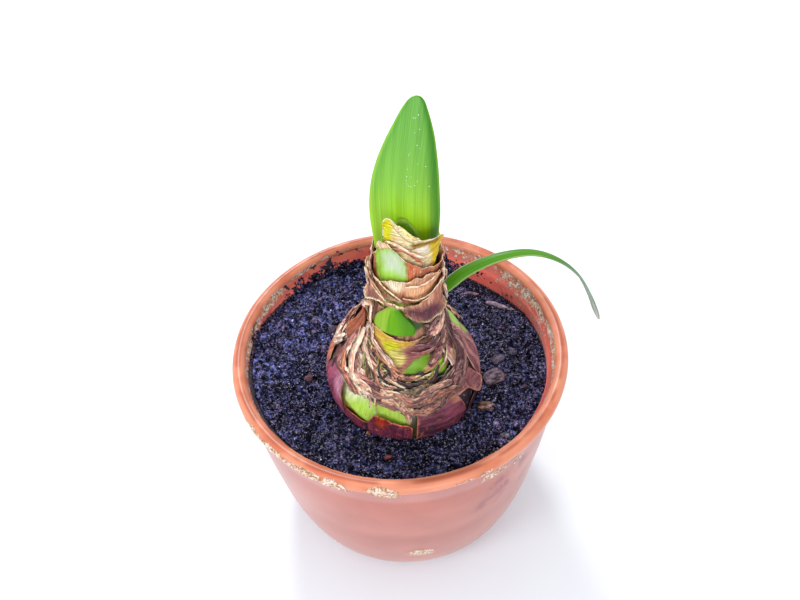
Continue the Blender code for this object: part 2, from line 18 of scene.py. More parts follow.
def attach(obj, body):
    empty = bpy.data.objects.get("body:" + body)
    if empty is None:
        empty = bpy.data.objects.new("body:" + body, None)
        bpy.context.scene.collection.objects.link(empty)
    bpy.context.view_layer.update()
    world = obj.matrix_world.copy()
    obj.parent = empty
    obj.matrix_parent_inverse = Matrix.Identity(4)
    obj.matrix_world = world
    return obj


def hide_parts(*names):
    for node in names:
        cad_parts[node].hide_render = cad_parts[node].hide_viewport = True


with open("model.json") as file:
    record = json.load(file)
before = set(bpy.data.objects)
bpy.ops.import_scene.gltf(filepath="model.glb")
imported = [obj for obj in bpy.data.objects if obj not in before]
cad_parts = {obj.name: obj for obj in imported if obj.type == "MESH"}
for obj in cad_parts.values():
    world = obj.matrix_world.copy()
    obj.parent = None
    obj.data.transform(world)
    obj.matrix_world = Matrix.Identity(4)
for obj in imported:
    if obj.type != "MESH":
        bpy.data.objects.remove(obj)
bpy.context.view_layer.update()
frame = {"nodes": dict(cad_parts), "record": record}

MM = 0.001
GAP = 0.3 * MM
SEED = 11
BODY_NAME = "root"

# Pot, as in the part's source: radii are of its outer wall
RIM_RADIUS = 80 * MM
POT_HEIGHT = 114 * MM
RIM_ROLL = 3 * MM
POT_WALL = 4.5 * MM
POT_FLOOR = 7 * MM
BODY = [(0, 58.5), (1.2, 60.9), (4.4, 62.8), (13, 66.7), (33, 70.9), (55, 73.5), (82, 75.8), (106, 76)]
LIP_TOP = 104 * MM

# Soil
SOIL_EDGE = [(-45, 100), (0, 98), (45, 92.5), (70, 95), (90, 98), (120, 100), (180, 106), (225, 106),
             (270, 104), (315, 100.5), (360, 98)]
SOIL_MIDDLE = 100.5 * MM
SOIL_FLAT_RADIUS = 38 * MM
LUMPS = [(1.1 * MM, 10 * MM), (0.7 * MM, 4.5 * MM)]

# Bulb
GLOBE = Vector((1.4 * MM, -13.0 * MM, 108.6 * MM))
LEAN = math.radians(3)
PLANT = Matrix.Translation(GLOBE) @ Matrix.Rotation(LEAN, 4, "Y")
FLESH = [(-34, 9), (-32.5, 15), (-27, 24), (-20, 30), (-10, 34.4), (0, 35.4), (4, 34.6), (8, 32.6),
         (13, 29.2),
         (19, 24.8), (25, 20.6), (30, 17.4), (35, 15.2), (40, 13.7), (46, 12.8), (52, 12.4), (60, 12.3),
         (72, 11.9), (80, 12.2), (90, 12.6), (98, 12.8)]
SKIN = 0.8 * MM
EASE = 8 * MM
SIDE_EASE = 14
RING_STEP = 10
FLAP_STEP = 5
CURL_REACH = 5 * MM
CORNER = 1.4 * MM
STUB_SPAN = (38.9, 54)
STUB_LEVEL = 1
BLADE_EDGE = 0.7 * MM
STUB_ROWS = [(38.9, -24, 36), (41.5, -24, 36.5), (44, -24, 33), (47, -24, 25), (50, -23.5, 16),
             (52.5, -23, 9), (54, -23, 4)]

# Fine sheets: how thick the paper is drawn, and how far apart its points are
PAPER = 0.28 * MM
PAPER_STEP = 0.6 * MM
STRONGER = 1.22
BRIGHTER = 1.25

# How bright a white surface is under the studio lights: a surface's own colour is darker by that much
STUDIO = 1.45


def shade(red, green, blue):
    """The surface colour that looks like this one, 0 to 255, under the studio lights."""
    return np.array([((c / 255 + 0.055) / 1.055) ** 2.4 for c in (red, green, blue)]) / STUDIO


CREAM = shade(240, 229, 190)
WHITE_PAPER = shade(244, 232, 218)
OLIVE = shade(150, 118, 36)
TAN = shade(214, 172, 138)
PINK_TAN = shade(226, 184, 156)
DULL_TAN = shade(178, 138, 116)
BROWN = shade(118, 74, 64)
PURPLE = shade(96, 56, 66)
MAUVE = shade(176, 122, 132)
DUSKY = shade(140, 92, 96)
BLACK_BROWN = shade(44, 32, 36)
DARK_GREEN = shade(58, 78, 44)
YELLOW_GREEN = shade(190, 190, 72)

# Every skin as in the part's source: level, first and last angle, top edge, bottom edge, how far the top and
# bottom stand out, how ragged they are
SKINS = {
    "collar_inner": (0, -180, 180, [(-180, 47), (-90, 48), (0, 49), (60, 50), (120, 48), (180, 47)],
                     [(0, 33)], 0, 0, 0.6),
    "collar_top": (0, -46, 78, [(-46, 92), (-35, 97), (-25, 96.5), (-14, 93), (-4, 90), (14, 88), (40, 86.5),
                                (64, 84.6), (78, 80.8)],
                   [(-46, 70), (45, 70), (60, 74), (78, 79)], 0.6, 0, 0.5),
    "collar_red": (1, -180, 180,
                   [(-180, 76), (-140, 79), (-90, 73), (-63, 77), (-51, 84), (-37, 86), (-27, 85),
                                  (-12, 80), (5, 77), (30, 74), (60, 72), (100, 75), (140, 81), (180, 76)],
                   [(0, 58)], 0.5, 0, 0.6),
    "collar_mid": (2, -180, 180, [(-180, 68), (-120, 71), (-60, 63), (-30, 67), (0, 68), (10, 70), (50, 69),
                                  (110, 66), (180, 68)],
                   [(0, 56.5)], 0, 0, 0.7),
    "collar_band": (3, -252, 84,
                    [(-252, 59), (-200, 62), (-150, 58), (-110, 63), (-75, 65), (-50, 62), (-38, 59),
                                  (-20, 57), (5, 56.5), (25, 59), (42, 62), (60, 65), (84, 63)],
                    [(-252, 45), (-180, 47), (-110, 46), (-75, 50), (-60, 54), (-40, 56), (-6, 55.5),
                     (5, 49.5), (25, 46.5), (50, 45.5), (84, 45)], 0.4, 0.9, 0.4),
    "collar_shoulder": (1, -180, 180, [(-180, 37), (-110, 39), (-69, 37.5), (-40, 37.6), (0, 36), (30, 36.5),
                                       (60, 38), (120, 37), (180, 37)],
                        [(-180, 23), (-64, 25), (-30, 24), (10, 22), (60, 24), (120, 22), (180, 23)],
                        0, 0.7, 0.5),
    "tunic_crumpled": (2, -180, 180, [(-180, 20), (-100, 21), (-26, 19.5), (0, 17.5), (30, 18), (60, 20),
                                      (120, 20), (180, 20)],
                       [(-180, 9), (-90, 9), (-30, 10), (0, 8), (90, 9), (180, 9)], 0, 0, 0.8),
    "tunic_torn": (3, -51, 4, [(-51, 17.5), (-35, 18), (-20, 18), (4, 16)],
                   [(-51, 10.5), (-41, 12), (-30, 13), (-18, 13), (-6, 10), (4, 7)], 0.4, 0.8, 0.5),
    "strip_right": (3, 46, 66, [(46, 34), (52, 40), (58, 43), (66, 42)], [(46, 20), (66, 18)], 0.5, 0.3, 0.7),
    "skin_front": (4, -51, 3, [(-51, 2), (-38, 1), (-30, 0), (-24, 6), (-15, 6), (-5, 4), (3, 3)],
                   [(0, -14)], 0.3, 0, 0.5),
    "flap_front": (4, 6, 48, [(6, 13), (20, 14), (32, 12), (40, 9), (44, 3), (48, -4)],
                   [(6, -14), (48, -14)], 0, 0, 0.4),
    "skin_left": (4, -85, -53, [(-85, 8), (-78, 15), (-65, 16), (-57, 12), (-53, 5)],
                  [(-85, -14), (-53, -14)], 0.4, 0, 0.5),
    "skin_back_left": (4, -155, -87, [(-155, 27), (-135, 24), (-118, 22), (-106, 15), (-95, 12), (-87, 9)],
                       [(-155, -14), (-87, -14)], 0.4, 0, 0.6),
    "skin_back_right": (4, 130, 203, [(130, 20), (145, 27), (165, 31), (185, 25), (203, 22)],
                        [(130, -14), (203, -14)], 0.5, 0, 0.6),
    "skin_right": (4, 69, 128, [(69, 20), (73, 31), (77, 41), (86, 38), (102, 31), (116, 26), (128, 22)],
                   [(69, -14), (128, -14)], 0.3, 0, 0.4),
    "skin_low": (4, 51, 67, [(51, 1), (57, 4), (67, 4)], [(51, -14), (67, -14)], 0.2, 0, 0.3),
    "tab_right": (5, 36, 66, [(36, 15), (46, 17), (59, 15), (66, 10)], [(36, 11), (48, 10), (57, 5), (66, 7)],
                  0.4, 1.6, 0.3),
    "curl_left": (5, -104, -74, [(-104, 33), (-92, 40), (-82, 41), (-74, 35)], [(-104, 22), (-74, 22)],
                  1.0, 0, 0.5),
}

# Stains on the skins and the flesh, with painted shade in gaps, slits, a hole and the crevice and a painted
# sheen: outline as (angle, height), colour, softness, how far it is sunk, in mm
# Painted sheen: the pale whitish middle of the green window stands in for the shine on the waxy flesh
GREEN_WINDOW = ([(-45, 78), (-34, 81.5), (-15, 82), (-8, 77), (-7, 70.5), (-15, 71), (-28, 72), (-39, 71)],
                shade(184, 198, 172), 2.6, 0.3)
GREEN_WINDOW_EDGE = ([(-72, 73), (-60, 79), (-36, 83), (-15, 83.4), (-6, 78), (-3, 74), (-2, 68), (-10, 67),
                      (-27, 67), (-35, 63), (-52, 62), (-70, 66)], shade(150, 190, 88), 0.7, 0.3)
GREEN_A = ([(-5, 21), (-2, 24), (7, 27), (20, 28.2), (30, 28.6), (28, 25.4), (15, 22), (3, 20)],
           shade(112, 150, 58), 0.7, 0.3)
GREEN_A_LIP = ([(-8, 24), (-2, 27), (14, 29.4), (32, 30), (30, 28), (14, 27), (0, 25)], shade(150, 100, 92),
               0.6, -0.2)
GREEN_B = ([(26, 21.6), (35, 22.6), (42, 26.6), (51, 28), (53, 25), (49, 21), (40, 19), (27, 20)],
           shade(150, 198, 78), 0.5, 0.2)
GREEN_C = ([(-53, 4), (-50, 10), (-34, 12), (-28, 11), (-24, 6), (-27, -1), (-37, 0), (-46, 3)],
           shade(172, 206, 104), 0.8, 0)
GREEN_D = ([(-24, 10), (-9, 11), (0, 8), (3, 4), (-8, 3), (-22, 3)], shade(160, 190, 88), 0.8, 0)
PALE_OVER_C = ([(-58, 8), (-50, 14), (-30, 15), (-31, 10), (-40, 8.5), (-50, 5)], shade(216, 224, 184), 2.0,
               0)
YELLOW_BAND = ([(-56, 37), (-38, 40), (-19, 38), (9, 35.5), (12, 33), (-4, 32), (-27, 33), (-50, 34)],
               shade(204, 172, 92), 1.2, 0)
YELLOW_TRIANGLE = ([(-38, 34), (-10, 35), (-13, 29), (-24, 28)], YELLOW_GREEN, 1.0, 0)
CREAM_STREAKS = ([(-28, 30), (-4, 33), (-2, 26), (-18, 25)], shade(214, 204, 132), 1.2, 0)
CRESCENT = ([(-52, 27), (-41, 27.5), (-20, 25), (-26, 22), (-45, 23)], shade(166, 182, 96), 0.8, 0)
# Painted shadow: a near-black patch where the hole under the band lies in shade
HOLE_SHADOW = ([(10, 38), (22, 38.6), (38, 37), (31, 34.5), (17, 35)], BLACK_BROWN, 0.6, 0.5)
PURPLE_PAPER = ([(-8, 32), (8, 34.5), (45, 34), (52, 28), (28, 26.5), (3, 27)], shade(128, 80, 84), 2.2, 0)
# Partly painted shade: dark green flesh, darker still where the band overhangs it
SHADED_GREEN_UNDER_BAND = ([(-2, 44), (5, 49), (20, 47), (34, 47), (40, 41), (11, 40)], DARK_GREEN, 1.0, 0)
# Painted shade: near black where the crevice under the shoulder lies in shadow
CREVICE_SHADE = ([(-70, 24), (-30, 24), (10, 22), (60, 24), (70, 19), (30, 16), (0, 15.5), (-40, 18)], BLACK_BROWN,
           1.5, 0)
# Painted shade: a dark bar on the flesh in the gap between the front skin and the front flap
GAP_SHADE = ([(1, 13), (10, 13), (7, 4), (8, -16), (2, -16), (2, 5)], shade(60, 56, 44), 0.7, 0)
RED_SPOT = ([(-24, 3), (-22, 7), (-12, 7.5), (-15, 2), (-16, -1), (-21, -1)], shade(146, 62, 50), 1.6, 0)
# Painted shade: a dark line down a split in the front skin
FRONT_SPLIT_SHADE = ([(-32, 3), (-29, 3), (-29, -18), (-32, -18)], BLACK_BROWN, 0.4, 0.2)
BAND_PURPLE = ([(-14, 57), (10, 54.5), (38, 54), (63, 51), (66, 46), (30, 45), (6, 49), (-5, 54)], PURPLE,
               2.6, 0)
BAND_LEFT = ([(-75, 54), (-60, 60), (-40, 57.5), (-18, 56), (-48, 49), (-75, 48)], shade(140, 92, 88), 2.4, 0)
MID_BROWN = ([(-17, 61), (7, 63), (12, 60), (9, 56), (-13, 56)], shade(150, 92, 72), 1.6, 0)
RED_LEFT = ([(-10, 80.5), (4, 79.5), (10, 75), (6, 71), (2, 66), (-4, 66), (-4, 73)], shade(206, 110, 78),
            2.2, 0)
RED_PALE_TOP = ([(-63, 80), (-51, 86), (-27, 88), (-8, 86), (6, 82), (22, 78), (8, 77), (-6, 80), (-16, 83),
                 (-36, 83), (-50, 80)], shade(242, 212, 180), 1.2, 0)
# Painted shade: dark green where the band stands off the middle collar and the gap lies in shade
MID_GAP_SHADE = ([(-58, 63), (-42, 60.2), (-27, 58.4), (-14, 57.6), (-20, 60), (-35, 62.2), (-48, 64.4)],
           shade(52, 58, 36), 0.5, 0.3)
MID_FLAP = ([(-4, 60), (-2, 66), (20, 66.6), (46, 69.6), (58, 68), (52, 64), (32, 61.4), (10, 59.6)],
            shade(232, 180, 146), 0.9, -0.4)
MID_CREAM = ([(-34, 66), (-24, 69), (-10, 69), (-8, 64), (-18, 61.6), (-30, 62.6)], shade(244, 230, 204), 1.4,
             0)
TOP_GOLD_LEFT = ([(-48, 98), (-29, 98), (-27, 80), (-48, 80)], shade(206, 204, 60), 1.3, 0)
TOP_GOLD_RIGHT = ([(34, 84), (44, 88), (82, 88), (82, 70), (50, 70)], shade(216, 186, 66), 1.4, 0)
TOP_OLIVE = ([(2, 85.5), (12, 86.5), (40, 85.5), (62, 84.5), (60, 82), (30, 83.4), (8, 83)], OLIVE, 0.7, 0.4)
TOP_WHITE = ([(10, 83.5), (34, 83.5), (32, 81), (16, 80.5)], WHITE_PAPER, 0.6, -0.3)
RIGHT_GREEN = ([(84, 44), (100, 38), (116, 30), (124, 16), (110, 9), (98, 17), (91, 28), (86, 36)],
               shade(150, 188, 100), 1.1, 0)
ORANGE_LEFT = ([(-124, 30), (-88, 30), (-84, 8), (-104, 8), (-116, 14)], shade(198, 130, 104), 2.2, 0)
MOTTLE_LEFT = ([(-70, 17), (-56, 15), (-52, 4), (-60, 3), (-66, 8)], shade(190, 140, 160), 2.6, 0)
DARK_SIDE = ([(40, 12), (52, 15), (70, 12), (76, -22), (40, -22)], shade(34, 30, 44), 1.0, 0)
# Painted shade: a dark line in the gap below the orange skin on the left flank
LEFT_GAP_SHADE = ([(-92, 20), (-88, 20), (-76, 9), (-80, 8)], BLACK_BROWN, 0.5, 0.2)
ORANGE_RIM = ([(4, 15), (20, 16), (34, 14), (44, 9), (40, 7), (28, 11), (6, 10)], shade(182, 136, 118), 1.4,
              0)
# Painted shadow: a dark slit on the right skin
RIGHT_SLIT_SHADOW = ([(73, 33), (79, 30), (80, 22), (75, 20), (73, 25)], shade(72, 44, 52), 0.7, 0.4)
TORN_GREEN = ([(-50, 13), (-38, 14), (-36, 11), (-48, 9)], shade(196, 202, 150), 1.0, 0)

# How each skin looks: two base colours, its rim, how deep its folds are in mm, which way they lie ("up" or
# "round"), how far its torn edges curl out and how deep they are torn, in mm, and its stains, painted shade and
# painted sheen
LOOKS = {
    "collar_inner": (DULL_TAN, BROWN, TAN, 0.15, "up", 0, 0.5, [SHADED_GREEN_UNDER_BAND]),
    "collar_top": (CREAM, shade(222, 196, 148), WHITE_PAPER, 0.24, "round", 0.5, 0.5,
                   [TOP_GOLD_LEFT, TOP_GOLD_RIGHT, TOP_OLIVE, TOP_WHITE]),
    "collar_red": (shade(210, 146, 114), shade(166, 104, 82), WHITE_PAPER, 0.16, "up", 0.4, 0.7,
                   [RED_PALE_TOP, RED_LEFT, GREEN_WINDOW_EDGE, GREEN_WINDOW]),
    "collar_mid": (TAN, shade(198, 148, 120), WHITE_PAPER, 0.18, "up", 0.5, 1.0,
                   [MID_BROWN, MID_CREAM, MID_FLAP, MID_GAP_SHADE]),
    "collar_band": (shade(212, 162, 138), shade(182, 126, 108), CREAM, 0.18, "up", 0.6, 0.6,
                    [BAND_PURPLE, BAND_LEFT]),
    "collar_shoulder": (shade(206, 160, 122), shade(140, 96, 80), PINK_TAN, 0.22, "round", 0.5, 1.0,
                        [YELLOW_BAND, YELLOW_TRIANGLE, CREAM_STREAKS, PURPLE_PAPER, HOLE_SHADOW, CRESCENT,
                         GREEN_A_LIP, GREEN_A, GREEN_B, RIGHT_GREEN]),
    "tunic_crumpled": (shade(150, 106, 98), shade(70, 46, 52), WHITE_PAPER, 0.26, "round", 0, 1.2, [CREVICE_SHADE]),
    "tunic_torn": (shade(206, 164, 146), shade(146, 96, 88), WHITE_PAPER, 0.26, "round", 0.8, 1.6,
                   [TORN_GREEN]),
    "strip_right": (shade(196, 140, 120), shade(140, 90, 82), WHITE_PAPER, 0.24, "up", 0.5, 1.2, []),
    "skin_front": (shade(134, 66, 84), shade(92, 46, 68), shade(214, 130, 100), 0.12, "up", 0.25, 0.6,
                   [RED_SPOT, FRONT_SPLIT_SHADE]),
    "flap_front": (shade(136, 80, 96), shade(78, 44, 62), shade(214, 142, 112), 0.2, "round", 0.3, 0.6,
                   [ORANGE_RIM]),
    "skin_left": (shade(160, 92, 114), shade(112, 54, 82), MAUVE, 0.1, "up", 0.3, 0.6,
                  [MOTTLE_LEFT, LEFT_GAP_SHADE]),
    "skin_back_left": (shade(178, 104, 90), MAUVE, PINK_TAN, 0.14, "up", 0.4, 0.8, [ORANGE_LEFT, LEFT_GAP_SHADE]),
    "skin_back_right": (DUSKY, PURPLE, PINK_TAN, 0.14, "up", 0.4, 0.8, []),
    "skin_right": (shade(180, 130, 130), shade(122, 80, 92), PINK_TAN, 0.12, "up", 0.2, 0.5,
                   [RIGHT_GREEN, RIGHT_SLIT_SHADOW]),
    "skin_low": (shade(56, 44, 58), shade(36, 30, 46), DUSKY, 0.14, "up", 0.2, 0.5, []),
    "tab_right": (shade(160, 108, 110), shade(92, 58, 70), shade(206, 152, 134), 0.3, "round", 0.3, 0.4, []),
    "curl_left": (shade(164, 94, 68), shade(94, 52, 44), shade(190, 130, 104), 0.2, "up", 0.1, 0.6, []),
}


def smooth(table, at):
    """Values at places, from a table of (place, value), on a smooth curve through its points."""
    at = np.asarray(at, float)
    places = np.array([place for place, _ in table], float)
    values = np.array([value for _, value in table], float)
    if len(table) == 1:
        return np.full(at.shape, values[0])
    at = np.clip(at, places[0], places[-1])
    before = np.maximum(np.arange(len(table)) - 1, 0)
    after = np.minimum(np.arange(len(table)) + 1, len(table) - 1)
    slopes = (values[after] - values[before]) / (places[after] - places[before])
    left = np.clip(np.searchsorted(places, at, side="right") - 1, 0, len(table) - 2)
    width = places[left + 1] - places[left]
    t = (at - places[left]) / width
    start = (2 * t**3 - 3 * t**2 + 1) * values[left] + (t**3 - 2 * t**2 + t) * width * slopes[left]
    end = (3 * t**2 - 2 * t**3) * values[left + 1] + (t**3 - t**2) * width * slopes[left + 1]
    return start + end


def ramp(value):
    value = np.clip(value, 0, 1)
    return value * value * (3 - 2 * value)


def lattice(i, j, k):
    """A fixed random value from 0 to 1 for each whole place."""
    mixed = (i * 73856093) ^ (j * 19349663) ^ (k * 83492791)
    mixed = (mixed ^ (mixed >> 13)) & 0x7FFFFFFF
    mixed = (mixed * 60493 + 19990303) & 0x7FFFFFFF
    mixed = (mixed ^ (mixed >> 11)) & 0x7FFFFFFF
    mixed = (mixed * 31337) & 0x7FFFFFFF
    return mixed / 0x7FFFFFFF


def rough(x, y, z):
    """Smooth random values from -1 to 1 that change over a distance of about 1."""
    x, y, z = np.broadcast_arrays(np.asarray(x, float), np.asarray(y, float), np.asarray(z, float))
    base = [np.floor(v).astype(np.int64) for v in (x, y, z)]
    ease = [ramp(v - b) for v, b in zip((x, y, z), base)]
    total = np.zeros(x.shape)
    for corner in itertools.product((0, 1), repeat=3):
        weight = 1
        for part, side in zip(ease, corner):
            weight = weight * (part if side else 1 - part)
        total += weight * lattice(*[b + side for b, side in zip(base, corner)])
    return total * 2 - 1


def layered(x, y, z, layers=3):
    """Rough values with finer ones on them."""
    total = 0
    for layer in range(layers):
        total = total + rough(x * 2**layer, y * 2**layer, z * 2**layer + 17 * layer) / 2**layer
    return total / 1.6


def inside(outline, x, y):
    """How far places lie inside an outline, negative outside it."""
    nearest = np.full(x.shape, np.inf)
    within_it = np.zeros(x.shape, bool)
    for (ax, ay), (bx, by) in zip(outline, outline[1:] + outline[:1]):
        along = np.clip(((x - ax) * (bx - ax) + (y - ay) * (by - ay)) / ((bx - ax) ** 2 + (by - ay) ** 2), 0,
                        1)
        nearest = np.minimum(nearest, np.hypot(x - ax - along * (bx - ax), y - ay - along * (by - ay)))
        if ay != by:
            within_it ^= ((ay > y) != (by > y)) & (x < (bx - ax) * (y - ay) / (by - ay) + ax)
    return np.where(within_it, nearest, -nearest)


def blend(colors, tone, weight):
    return colors + (np.asarray(tone) - colors) * weight[..., None]


def vivid(colors):
    """Stronger and brighter: the fibres and veins of the finish take some of both away."""
    grey = colors.mean(axis=-1, keepdims=True)
    return np.clip(BRIGHTER * (grey + (colors - grey) * STRONGER), 0.003, 0.95)


# Places on the bulb


def flesh_radius(height):
    return smooth(FLESH, np.asarray(height) / MM) * MM


def wobble(angle, height):
    turn = np.radians(angle)
    size = flesh_radius(height) / (36 * MM)
    return size * MM * (0.5 * np.sin(2 * turn + 0.6) + 0.35 * np.sin(3 * turn - height / (9 * MM)))


def plant_point(angle, height, lift):
    """Points a distance, lift, off the flesh, measured square to it."""
    step = 0.5 * MM
    slope = (flesh_radius(height + step) - flesh_radius(height - step)) / (2 * step)
    length = np.hypot(1, slope)
    radius = flesh_radius(height) + lift / length + wobble(angle, height)
    turn = np.radians(angle)
    local = np.stack(np.broadcast_arrays(radius * np.sin(turn), -radius * np.cos(turn),
                                         height - lift * slope / length),
                     axis=-1)
    turned = np.array(PLANT.to_3x3())
    return local @ turned.T + np.array(PLANT.translation)


def within(value, low, high, ease):
    return ramp((value - low) / ease + 1) * ramp((high - value) / ease + 1)


def cover(name, angle, height):
    _, first, last, top, bottom, *_ = SKINS[name]
    spanned = within(height, min(h for _, h in bottom) * MM, max(h for _, h in top) * MM, EASE)
    if last - first >= 300:
        return spanned + 0 * angle
    away = (angle - (first + last) / 2 + 180) % 360 - 180
    return spanned * within(away, (first - last) / 2, (last - first) / 2, SIDE_EASE)


def level_lift(level, angle, height):
    lift = GAP + 0 * (angle + height)
    for under in range(level):
        covers = [cover(name, angle, height) for name in SKINS if SKINS[name][0] == under]
        if under == STUB_LEVEL:
            covers.append(within(height, STUB_SPAN[0] * MM, STUB_SPAN[1] * MM, EASE) + 0 * angle)
        lift = lift + (SKIN + GAP) * np.maximum.reduce(covers)
    return lift


def ragged(angle, amount, seed):
    near = noise.noise(Vector((angle / 11, seed, 0.5)))
    fine = noise.noise(Vector((angle / 4.3, seed, 7.5)))
    return amount * (near + 0.6 * fine)


# Meshes


def grid_faces(columns, rows, closed=False):
    """Quads between neighbouring columns and rows of points, columns first."""
    index = np.arange(columns * rows).reshape(columns, rows)
    if closed:
        index = np.vstack([index, index[:1]])
    quads = np.stack([index[:-1, :-1], index[1:, :-1], index[1:, 1:], index[:-1, 1:]], axis=-1)
    return quads.reshape(-1, 4)


def build(name, points, faces, finish, tint=None, grain=None, **values):
    """An object from points and faces, with a colour, a place in the grain and other values at each point."""
    mesh = bpy.data.meshes.new(name)
    points = np.asarray(points).reshape(-1, 3)
    mesh.from_pydata(points.tolist(), [], faces if isinstance(faces, list) else faces.tolist())
    if tint is not None:
        opaque = np.ones((len(points), 4))
        opaque[:, :3] = np.asarray(tint).reshape(-1, 3)
        mesh.attributes.new("tint", "FLOAT_COLOR", "POINT").data.foreach_set("color", opaque.ravel())
    if grain is not None:
        mesh.attributes.new("grain", "FLOAT_VECTOR", "POINT").data.foreach_set("vector",
                                                                               np.asarray(grain).ravel())
    for key, value in values.items():
        mesh.attributes.new(key, "FLOAT", "POINT").data.foreach_set("value", np.asarray(value, float).ravel())
    mesh.shade_smooth()
    mesh.materials.append(finish)
    made = bpy.data.objects.new(name, mesh)
    bpy.context.scene.collection.objects.link(made)
    return made


def dress(piece, slot, *nodes):
    """The piece rides on the one body, and replaces nodes where it has any. Its slot, what it stands for, is
    not used.
    """
    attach(piece, BODY_NAME)
    if nodes:
        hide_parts(*nodes)


def join(shapes):
    """Several (points, faces, tint, grain) as one."""
    points, faces, tints, grains = [], [], [], []
    count = 0
    for part_points, part_faces, tint, grain in shapes:
        part_points = np.asarray(part_points).reshape(-1, 3)
        points.append(part_points)
        faces.append(np.asarray(part_faces) + count)
        tints.append(np.broadcast_to(tint, (len(part_points), 3)))
        grains.append(np.asarray(grain).reshape(-1, 3))
        count += len(part_points)
    return np.vstack(points), np.vstack(faces), np.vstack(tints), np.vstack(grains)


def thicken(piece, thickness=PAPER):
    """Makes a sheet a thin solid, by the same amount to both sides."""
    thick = piece.modifiers.new("thickness", "SOLIDIFY")
    thick.thickness = thickness
    thick.offset = 0


# Materials


class Finish:
    """A material whose nodes are made by short calls. Plain values go on the Principled shader itself."""

    def __init__(self, name, **plain):
        self.material = bpy.data.materials.new(name)
        self.material.use_nodes = True
        self.tree = self.material.node_tree
        self.surface = self.tree.nodes["Principled BSDF"]
        for key, value in plain.items():
            self.surface.inputs[key.replace("_", " ")].default_value = value

    def node(self, kind, settings=None, **inputs):
        made = self.tree.nodes.new("ShaderNode" + kind)
        for key, value in (settings or {}).items():
            setattr(made, key, value)
        for key, value in inputs.items():
            self.put(made.inputs[key.replace("_", " ")], value)
        return made

    def put(self, socket, value):
        if isinstance(value, bpy.types.NodeSocket):
            self.tree.links.new(value, socket)
        elif isinstance(value, np.ndarray) or (isinstance(value, tuple) and socket.type == "RGBA"):
            socket.default_value = (*value, 1)
        else:
            socket.default_value = value

    def attribute(self, name, output="Fac"):
        return self.node("Attribute", {"attribute_name": name}).outputs[output]

    def place(self):
        return self.node("TexCoord").outputs["Object"]

    def stretched(self, vector, scale):
        return self.node("Mapping", Vector=vector, Scale=scale).outputs["Vector"]

    def noise(self, vector, scale, detail=3.0, roughness=0.55):
        made = self.node("TexNoise", Vector=vector, Scale=scale, Detail=detail, Roughness=roughness)
        return made.outputs["Fac"]

    def spread(self, value, low, high, to_low=0.0, to_high=1.0):
        """Takes a value's range to another one, with soft ends."""
        made = self.node("MapRange", {"interpolation_type": "SMOOTHSTEP"}, Value=value)
        for socket, number in zip(made.inputs[1:5], (low, high, to_low, to_high)):
            socket.default_value = number
        return made.outputs["Result"]

    def math(self, operation, first, second):
        made = self.node("Math", {"operation": operation})
        self.put(made.inputs[0], first)
        self.put(made.inputs[1], second)
        return made.outputs[0]

    def mix(self, factor, first, second, how="MIX"):
        made = self.node("Mix", {"data_type": "RGBA", "blend_type": how})
        self.put(made.inputs[0], factor)
        self.put(made.inputs[6], first)
        self.put(made.inputs[7], second)
        return made.outputs[2]

    def grey(self, value):
        """A number as a shade of grey."""
        return self.node("CombineColor", Red=value, Green=value, Blue=value).outputs["Color"]

    def bump(self, height, strength, distance):
        made = self.node("Bump", Height=height, Strength=strength, Distance=distance)
        self.put(self.surface.inputs["Normal"], made.outputs["Normal"])
        return made.outputs["Normal"]

    def use(self, **inputs):
        for key, value in inputs.items():
            self.put(self.surface.inputs[key.replace("_", " ")], value)
        return self.material

    def let_light_through(self, color, share):
        """Mixes in light that comes through from behind."""
        through = self.node("BsdfTranslucent", Color=color)
        both = self.node("MixShader", Fac=share)
        self.put(both.inputs[1], self.surface.outputs["BSDF"])
        self.put(both.inputs[2], through.outputs["BSDF"])
        self.put(self.tree.nodes["Material Output"].inputs["Surface"], both.outputs["Shader"])


def paper_finish():
    """Dry skins: long fibres, darker veins between them, flecks and a dull shine. Living parts are waxy."""
    made = Finish("dry_paper", Specular_IOR_Level=0.3)
    grain = made.attribute("grain", "Vector")
    dry = made.math("SUBTRACT", 1.0, made.attribute("waxy"))
    fibres = made.noise(made.stretched(grain, (2.6, 0.28, 1)), 1.0, 4.0, 0.6)
    veins = made.noise(made.stretched(grain, (1.1, 0.1, 1)), 1.0, 2.0)
    flecks = made.noise(made.stretched(grain, (1.9, 0.8, 1)), 1.0, 3.0, 0.65)
    blotches = made.noise(made.stretched(grain, (0.35, 0.25, 1)), 1.0, 4.0, 0.6)
    tint = made.attribute("tint", "Color")
    color = made.mix(1.0, tint, made.grey(made.spread(fibres, 0.3, 0.7, 0.54, 1.3)), "MULTIPLY")
    color = made.mix(made.spread(veins, 0.56, 0.66, 0.0, 0.65), color, made.mix(1.0, color, (0.42, 0.3, 0.3),
                                                                               "MULTIPLY"))
    color = made.mix(made.spread(blotches, 0.5, 0.68, 0.0, 0.5), color,
                     made.mix(1.0, color, (0.6, 0.42, 0.38),
                                                                                "MULTIPLY"))
    color = made.mix(made.spread(flecks, 0.62, 0.72, 0.0, 0.45), color, (0.6, 0.5, 0.4))
    living = made.mix(1.0, tint, made.grey(made.spread(fibres, 0.3, 0.7, 0.9, 1.08)), "MULTIPLY")
    color = made.mix(dry, living, color)
    relief = made.math("ADD", fibres, made.math("MULTIPLY", veins, 0.7))
    made.bump(made.math("MULTIPLY", relief, made.math("ADD", 0.2, dry)), 0.55, 0.4 * MM)
    roughness = made.math("ADD", made.spread(fibres, 0.3, 0.7, 0.32, 0.4), made.math("MULTIPLY", dry, 0.26))
    return made.use(Base_Color=color, Roughness=roughness)


